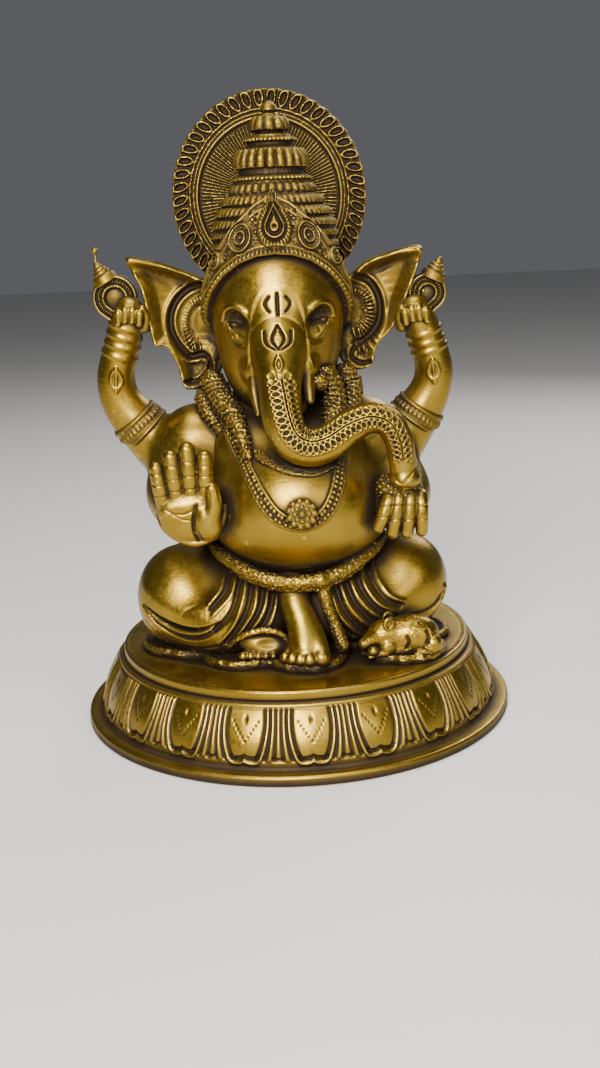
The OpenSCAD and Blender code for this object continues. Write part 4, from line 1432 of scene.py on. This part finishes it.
def make_crown():
    """A stepped cone of skirts of petals, with dark gaps between them."""
    clay = Clay(at(-25, -27, 120), at(23, 22, 177), 0.28)
    radius, turn, v = round_crown(clay)
    ends = np.maximum(CROWN_FOOT - v, v - CROWN_TOP)
    core = np.interp(v, *CROWN_CORE) * UNIT
    clay.field = np.maximum((radius - core) * 0.9, ends).astype(np.float32)
    for foot, height, size, petals, depth in CROWN_TIERS:
        rise = np.clip((v - foot) / height, 0, 1)
        lobe = np.abs(np.cos(turn * petals / 2)) ** 0.5
        belly = 0.5 * (2 * rise - 1) ** 2
        reach = size * UNIT * (1 - 0.07 * rise) - depth * (1 - lobe) - 0.8 * rise**4 - belly
        top = foot + height * (0.75 + 0.25 * lobe)
        wall = np.maximum((radius - reach) * 0.85, np.maximum(foot - v, v - top) * 0.9)
        clay.field = smooth_min(clay.field, wall, 0.35)
    x, y, _ = clay.grid()
    bent = np.degrees(np.arctan2(np.abs(x - TIARA_CENTRE[0]), -(y - TIARA_CENTRE[1])))
    behind_tiara = np.interp(bent, *TIARA_FOOT) + 2.5 - v
    clay.field = np.maximum(clay.field, np.where(bent < 95, behind_tiara, -FAR))
    clay.field = np.maximum(clay.field, -(clay.form(HEAD) + 1.5))
    clay.roughen(0.22, 0.8)
    place(clay.mesh("crown_tiers"), "crown")


def make_finial():
    """A turned knob with a gadrooned foot."""
    clay = Clay(at(-6, -8, 172), at(4, 3, 183), 0.2)
    radius, turn, v = round_crown(clay)
    gadroon = 0.22 * np.cos(turn * 10) * bump((v - 174.6) / 0.9)
    wall = (radius - np.interp(v, *FINIAL) * UNIT - gadroon) * 0.75
    clay.field = np.maximum(wall, np.abs(v - 176.6) - 3.6).astype(np.float32)
    place(clay.mesh("crown_knob"), "crown_finial")


HALO_PETALS = 46
HALO_RAYS = 124


def halo_front(turn, inward, mean):
    """The relief of the halo's face: looped petals, three fine ribs, then rays."""
    slant = 0.32 * np.clip(np.sin(turn) * 3, -1, 1)
    phase = ((turn * HALO_PETALS / (2 * np.pi) + slant * (inward - 3) / 4.4) % 1) - 0.5
    cross = phase * 2 * np.pi * (mean - 3) / HALO_PETALS
    loop = np.hypot(cross / 1.4, (inward - 3.0) / 2.5) - 1
    eyes = 0.7 * bump(np.hypot(cross / 0.55, (inward - 3.2) / 1.6))
    gaps = hills(np.abs(cross), (0.8, 2.1, 0.4)) * bump((inward - 2.4) / 3)
    petals = hills(loop, (1.0, 0, 0.24)) - eyes - gaps
    ribs = hills(inward, (0.95, 6.5, 0.4), (0.7, 7.8, 0.4), (0.6, 9.0, 0.4))
    rays = 0.9 * np.abs(np.cos(turn * HALO_RAYS / 2)) ** 3
    rays = rays * step_up(inward, 10, 10.6) * (1 - step_up(inward, 23, 26))
    return petals + ribs + rays - 0.7 * step_up(inward, 9.6, 10.2)


def halo_back(inward):
    """The relief of the halo's back: a rim, a rib and shallow turning marks."""
    rings = hills(inward, (0.5, 2.2, 1.4), (0.3, 7, 0.5))
    return rings + 0.25 * np.cos(inward * 1.2) * step_up(inward, 9, 12)


def make_halo():
    """An upright oval plate behind the head."""
    low, high = (np.array(c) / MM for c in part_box("halo"))
    middle = (low + high) / 2
    half_wide, half_tall = (high[0] - low[0]) / 2, (high[2] - low[2]) / 2
    room = np.array([0.6, 2.5, 0.6])
    clay = Clay(low - room, high + room, 0.27)
    x, y, z = clay.grid()
    u, v = x[:, 0, :] - middle[0], z[0, :, :] - middle[2]
    mean = (half_wide + half_tall) / 2
    inward = (1 - np.hypot(u / half_wide, v / half_tall)) * mean
    turn = np.arctan2(u / half_wide, v / half_tall)
    gap = y - 19 * UNIT
    front, back = upright(halo_front(turn, inward, mean)), upright(halo_back(inward))
    lift = np.where(gap < 0, front, back * 0.8)
    plate = np.abs(gap) - 1.2 * UNIT - lift * step_up(np.abs(gap), 0.2, 0.8)
    scallop = 0.45 * (1 - np.abs(np.cos(turn * HALO_PETALS / 2)))
    rim = np.broadcast_to(upright(scallop - inward), clay.size)
    clay.field = smooth_max(rim, plate, 0.7).astype(np.float32)
    place(clay.mesh("halo_plate"), "halo")


# ---------- ground and mouse ----------

def make_ground():
    """The rough-cast ground that the figure sits on, thin and lobed."""
    clay = Clay(at(-58, -50, -1.5), at(56, 46, 5), 0.42)
    x, y, z = clay.grid()
    sheet_x, sheet_y = x[:, :, 0], y[:, :, 0]
    sheet = np.full(clay.size[:2], FAR, np.float32)
    lobes = ((0, 6, 36), (-36, -10, 17), (37, -10, 16), (4, -33, 13), (36, -28, 14), (-18, -28, 13))
    for cx, cy, radius in lobes:
        sheet = smooth_min(sheet, np.hypot(sheet_x - cx * UNIT, sheet_y - cy * UNIT) - radius * UNIT, 4)
    sheet = sheet + 0.7 * noise(sheet_x, sheet_y, 0, 3.5)
    roll = 0.7 * bump((sheet + 1.2) / 1.1)
    top = z - (SLAB_TOP - 0.3) - roll[:, :, None]
    body = smooth_max(np.broadcast_to(sheet[:, :, None], clay.size), top, 1.0)
    clay.field = np.maximum(body, LEDGE - 0.05 - z).astype(np.float32)
    clay.roughen(0.55, 1.15, step_up(z, LEDGE + 0.4, LEDGE + 1.2))
    place(clay.mesh("ground_casting"), "ground_slab")


def make_mouse():
    """A crouching mouse that faces the foot."""
    clay = Clay(at(16, -46, 0), at(54, -21, 18), 0.24)
    clay.field = clay.near([egg(at(37.5, -33.5, 7.6), (9.4, 6.2, 6.8), (0, -4, 0))])
    clay.add([egg(at(42, -33, 6.6), (5.4, 5.8, 6.2))], 2)
    clay.add([egg(at(29.4, -35.2, 9.0), (5.1, 4.4, 4.7))], 2)
    clay.add([rod(at(27, -35.8, 8.4), at(22.8, -36.6, 6.2), 3.6 * UNIT, 2.1 * UNIT)], 1.2)
    clay.add([egg(at(33, -35, 3.4), (7, 4.2, 3))], 2)
    clay.add([ball(at(21.8, -36.8, 6), 0.9 * UNIT)], 0.2)
    for y in (-32.2, -38.4):  # the ears
        clay.add([egg(at(31, y, 13.2), (2.2, 0.9, 2.4), (0, 0, 30))], 0.3)
        clay.cut([egg(at(30.8, y - 0.9, 13.2), (1.4, 0.6, 1.6), (0, 0, 30))], 0.2)
    for y in (-32.8, -38.1):  # the eyes
        clay.add([ball(at(26.2, y, 9.6), 0.85 * UNIT)], 0.1)
    for x, y in ((29.5, -39.6), (44.5, -38.8)):  # the legs and toes
        clay.add([egg(at(x + 0.6, y + 1.6, 5.2), (3.1, 2.6, 3.4), (0, 15, 0))], 0.6)
        clay.add([rod(at(x + 0.4, y + 0.4, 3.5), at(x - 4.2, y, 3.1), 1.3 * UNIT, 1.2 * UNIT)], 0.4)
        for toe in (-0.9, 0, 0.9):
            root, tip = at(x - 4, y + toe, 3), at(x - 5.4, y + toe * 1.3, 2.8)
            clay.add([rod(root, tip, 0.6 * UNIT, 0.5 * UNIT)], 0.15)
    tail = [
        (46, -32, 4.6, 1.3), (48, -33, 4.2, 1.1), (47.6, -36.5, 4, 1.0), (44.8, -39, 4, 0.8),
        (42.6, -39.6, 5, 0.6),
    ]
    clay.add(limb(tail, 0.7), 0.4)
    for x, z in ((36.6, 6.8), (43.2, 8.2)):
        clay.draw([(x, z + 2), (x + 0.5, z), (x - 0.3, z - 1.8)], -0.8, 0.5)
    clay.add([egg(at(25.4, -40, 4.6), (1.9, 1.7, 1.6))], 0.2)
    clay.roughen(0.16, 0.7)
    above_slab(clay)
    place(clay.mesh("mouse_casting"), "mouse")


# ---------- pedestal ----------

PETALS = 20
PETAL_TURN = math.radians(-5.5)
# Grooves and ribs on each side of the gap between two panels: place, height and width.
STAMENS = ((0.75, -0.85, 0.46), (2.25, -1.0, 0.46), (3.75, -1.0, 0.46), (1.5, 0.3, 0.5), (3.0, 0.3, 0.5))


def lotus_relief(turn, rise, radius):
    """The chased lotus band: stamens between two-lobed panels with a dotted V."""
    pitch = 2 * np.pi / PETALS
    away = np.abs(((turn - PETAL_TURN + pitch / 2) % pitch - pitch / 2) * radius)
    b = pitch * radius / 2 - away
    relief = np.zeros(np.broadcast(turn, rise).shape)
    flare = 1 + 1.2 * (1 - rise) ** 2.4 + 0.22 * rise**4
    reach = step_up(rise, 0.07, 0.14) * (1 - step_up(rise, 0.93, 0.97))
    for offset, height, width in STAMENS:
        relief += hills(away, (height, offset * flare, width)) * reach
    relief -= hills(rise, (0.7, 0.13, 0.03)) * (away < 1.5)
    lobes = 0.22 - 0.085 * np.sqrt(np.clip(1 - ((b - 2.4) / 2.6) ** 2, 0, 1))
    lobes = lobes + 0.9 * np.clip((b - 4.2) / 4, 0, 1) ** 2
    panel = np.clip(1 - (b / 5.6) ** 6, 0, 1)
    relief += hills(rise - lobes, (-1.15, 0, 0.032), (0.45, -0.085, 0.04)) * panel
    relief += hills(rise, (0.3, 0.6, 0.3)) * bump(b / 4.5)
    v_line = 0.42 + 0.36 * b / 4.4
    relief -= hills(rise - v_line, (0.34, 0, 0.022)) * (wave(b, 0.85) > 0) * (b < 4.6)
    relief -= 0.5 * bump(np.hypot(b / 0.45, (rise - 0.78) / 0.05))
    return relief - hills(rise, (0.35, 0.965, 0.02))


FOOT = (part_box("pedestal")[1][0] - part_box("pedestal")[0][0]) / 2 / MM
BAND_FOOT, BAND_TOP, RIM = FOOT * 0.93, FOOT * 0.84, FOOT * 0.815
FLANGE = 3.5
BAND_ROWS = 58
DASHES = RIM - 1.9  # where the edge strokes on the ledge are


def level(height, *radii):
    """Flat points of the profile, at one height."""
    return [(r, height, 0) for r in radii]


def quarter_round(radius, height, size):
    """A rounded outer corner of the profile, from its top to its side."""
    turns = np.radians(np.linspace(0, 90, 5))
    return [(radius - size + size * math.sin(t), height - size + size * math.cos(t), 0) for t in turns]


def pedestal_profile():
    """The turned base's section: rows of radius, height and, on the band only, the rise up it."""
    foot_z, top_z = FLANGE + 1, LEDGE - 3.6
    profile = level(LEDGE, 0.2, *np.linspace(8, RIM - 5, 5), RIM - 3.2, RIM - 2.6, DASHES, RIM - 1.2)
    profile += quarter_round(RIM, LEDGE, 0.8)
    profile += [(RIM, LEDGE - 2.4, 0), (RIM - 0.1, top_z + 0.35, 0), (RIM - 0.5, top_z, 0)]
    profile += [(BAND_TOP - 0.7, top_z - 0.1, 0)]
    for i in range(BAND_ROWS + 1):
        t = i / BAND_ROWS
        r = BAND_TOP + (BAND_FOOT - BAND_TOP) * math.sin(math.pi / 2 * t)
        rise = 1 - t if 0 < i < BAND_ROWS else 0
        profile.append((r, foot_z + (top_z - 0.2 - foot_z) * (1 - t), rise))
    profile += [(BAND_FOOT + 0.1, FLANGE + 0.4, 0), (BAND_FOOT + 0.8, FLANGE - 0.1, 0)]
    profile += level(FLANGE, FOOT - 2.5, FOOT - 1.2) + quarter_round(FOOT, FLANGE, 1)
    profile += [(FOOT, 1.2, 0), (FOOT, 0.5, 0), (FOOT - 0.5, 0, 0), (BAND_FOOT - 3.6, 0, 0)]
    profile += [(BAND_FOOT - 4, 0.5, 0), (BAND_FOOT - 4, foot_z, 0), (RIM - 4, top_z - 2, 0)]
    return profile + level(LEDGE - 4, RIM - 6, RIM / 2, 0.2)


def cap(ring_points, centre, faces_up):
    """Triangles that close a ring of points on to a centre."""
    following = np.roll(ring_points, -1)
    order = (ring_points, following) if faces_up else (following, ring_points)
    return np.stack([*order, np.full(len(ring_points), centre)], -1)


def make_pedestal():
    """The turned base, with its lotus band chased into a quarter-round."""
    count = 1080
    radius, height, rise = (np.array(column) for column in zip(*pedestal_profile()))
    rows = len(radius)
    turns = 2 * np.pi * np.arange(count) / count
    on_band = (rise > 0)[:, None]
    normal = np.stack([-np.gradient(height), np.gradient(radius)], 1) * on_band
    normal /= np.maximum(np.linalg.norm(normal, axis=1), 1e-6)[:, None]
    relief = lotus_relief(turns[None, :] + np.pi / 2, rise[:, None], BAND_FOOT - 3) * on_band
    dashed = (np.abs(radius - DASHES) < 0.01) & (height > LEDGE - 0.1)
    strokes = 0.4 * (np.cos(turns * 260) > 0.1) * dashed[:, None]
    wide = radius[:, None] + relief * np.abs(normal[:, :1])
    tall = height[:, None] + relief * normal[:, 1:] - strokes
    points = np.stack([wide * np.sin(turns), -wide * np.cos(turns), tall], -1).reshape(-1, 3)
    points = np.vstack([points, [[0, 0, height[0]], [0, 0, height[-1]]]])
    i, j = np.meshgrid(np.arange(rows - 1), np.arange(count), indexing="ij")
    k = (j + 1) % count
    corners = [i * count + j, (i + 1) * count + j, (i + 1) * count + k, i * count + k]
    quads = np.stack(corners, -1).reshape(-1, 4)
    top, bottom = np.arange(count), (rows - 1) * count + np.arange(count)
    ends = [cap(top, rows * count, True), cap(bottom, rows * count + 1, False)]
    place(mesh_object("pedestal_turning", points, np.vstack(ends), quads), "pedestal")


# ---------- making everything ----------

make_pedestal()
make_ground()
make_torso()
make_right_leg()
make_left_leg()
make_right_foot()
make_left_foot()
make_waistband()
make_necklace()
make_pendant()
make_front_arm("right_front_arm", RIGHT_FRONT_ARM)
make_front_arm("left_front_arm", LEFT_FRONT_ARM)
make_right_hand()
make_left_hand()
make_sweet()
right_rings, left_rings = (100.5, 104, 107.5, 110.5), (98, 101.2, 104.2)
make_rear_arm("right_rear_arm", RIGHT_REAR_ARM, RIGHT_FRONT_ARM, right_rings, (-56.6, 92.5))
make_rear_arm("left_rear_arm", LEFT_REAR_ARM, LEFT_FRONT_ARM, left_rings, (50.6, 91))
make_armlets()
make_emblem("right_emblem", (-55.2, 0, 119.8), -27, 7.5, True)
make_emblem("left_emblem", (49.3, 0, 117.1), 23, 6.5, False)
make_head()
make_trunk()
make_tusk("right_tusk", -1, (-8.4, -32.4, 83.2, 0.8))
make_tusk("left_tusk", 1, (8.2, -31, 86.6, 1.3))
make_ear("right_ear", RIGHT_EAR)
make_ear("left_ear", LEFT_EAR)
make_locks()
make_tiara()
make_crown()
make_finial()
make_halo()
make_mouse()

for ob in bpy.context.scene.objects:
    if ob.type == "MESH" and ob.name in ("base_screws", "screw_washers"):
        ob.data.materials.clear()
        ob.data.materials.append(STEEL)


# ---------- floor, light and camera ----------

def make_floor():
    """A floor well past the camera's view."""
    half = 3.0
    corners = [(-half, -half, 0), (half, -half, 0), (half, half, 0), (-half, half, 0)]
    mesh = bpy.data.meshes.new("floor")
    mesh.from_pydata(corners, [], [(0, 1, 2, 3)])
    floor = bpy.data.objects.new("floor", mesh)
    bpy.context.scene.collection.objects.link(floor)
    mesh.materials.append(floor_paint())


def area_light(name, place_at, aim, size, power, colour=(1, 1, 1)):
    """A square soft light, turned to its aim."""
    light = bpy.data.lights.new(name, "AREA")
    light.size, light.energy, light.color = size, power, colour
    ob = bpy.data.objects.new(name, light)
    ob.location = place_at
    ob.rotation_euler = (Vector(aim) - Vector(place_at)).to_track_quat("-Z", "Y").to_euler()
    bpy.context.scene.collection.objects.link(ob)


def make_stage():
    """The floor, four soft lights and a dim sky."""
    make_floor()
    area_light("key", (-0.12, -0.72, 0.44), (0, 0, 0.1), 0.36, 13.5, (1, 0.97, 0.9))
    area_light("fill", (0.4, -0.6, 0.3), (0, 0, 0.1), 0.3, 1.4, (0.97, 0.98, 1))
    area_light("rim", (0.3, 0.55, 0.5), (0, 0, 0.13), 0.4, 3)
    area_light("top", (0, -0.1, 0.8), (0, 0, 0.1), 0.4, 5)
    world = bpy.data.worlds.new("studio")
    bpy.context.scene.world = world
    world.use_nodes = True
    background = world.node_tree.nodes["Background"]
    background.inputs["Color"].default_value = (0.9, 0.93, 1, 1)
    background.inputs["Strength"].default_value = 0.12


def make_camera():
    """The photograph's view: near, a little above, and rolled slightly."""
    place_at, pitch, roll = (0.00308, -0.42857, 0.16942), 14.18, 2.56
    camera = bpy.data.cameras.new("camera")
    camera.lens, camera.sensor_width, camera.sensor_fit = 42.3, 36, "AUTO"
    camera.clip_start = 0.01
    ob = bpy.data.objects.new("camera", camera)
    tilt = Matrix.Rotation(math.radians(90 - pitch), 4, "X")
    ob.matrix_world = Matrix.Translation(place_at) @ tilt @ Matrix.Rotation(math.radians(-roll), 4, "Z")
    bpy.context.scene.collection.objects.link(ob)
    bpy.context.scene.camera = ob


make_stage()
make_camera()
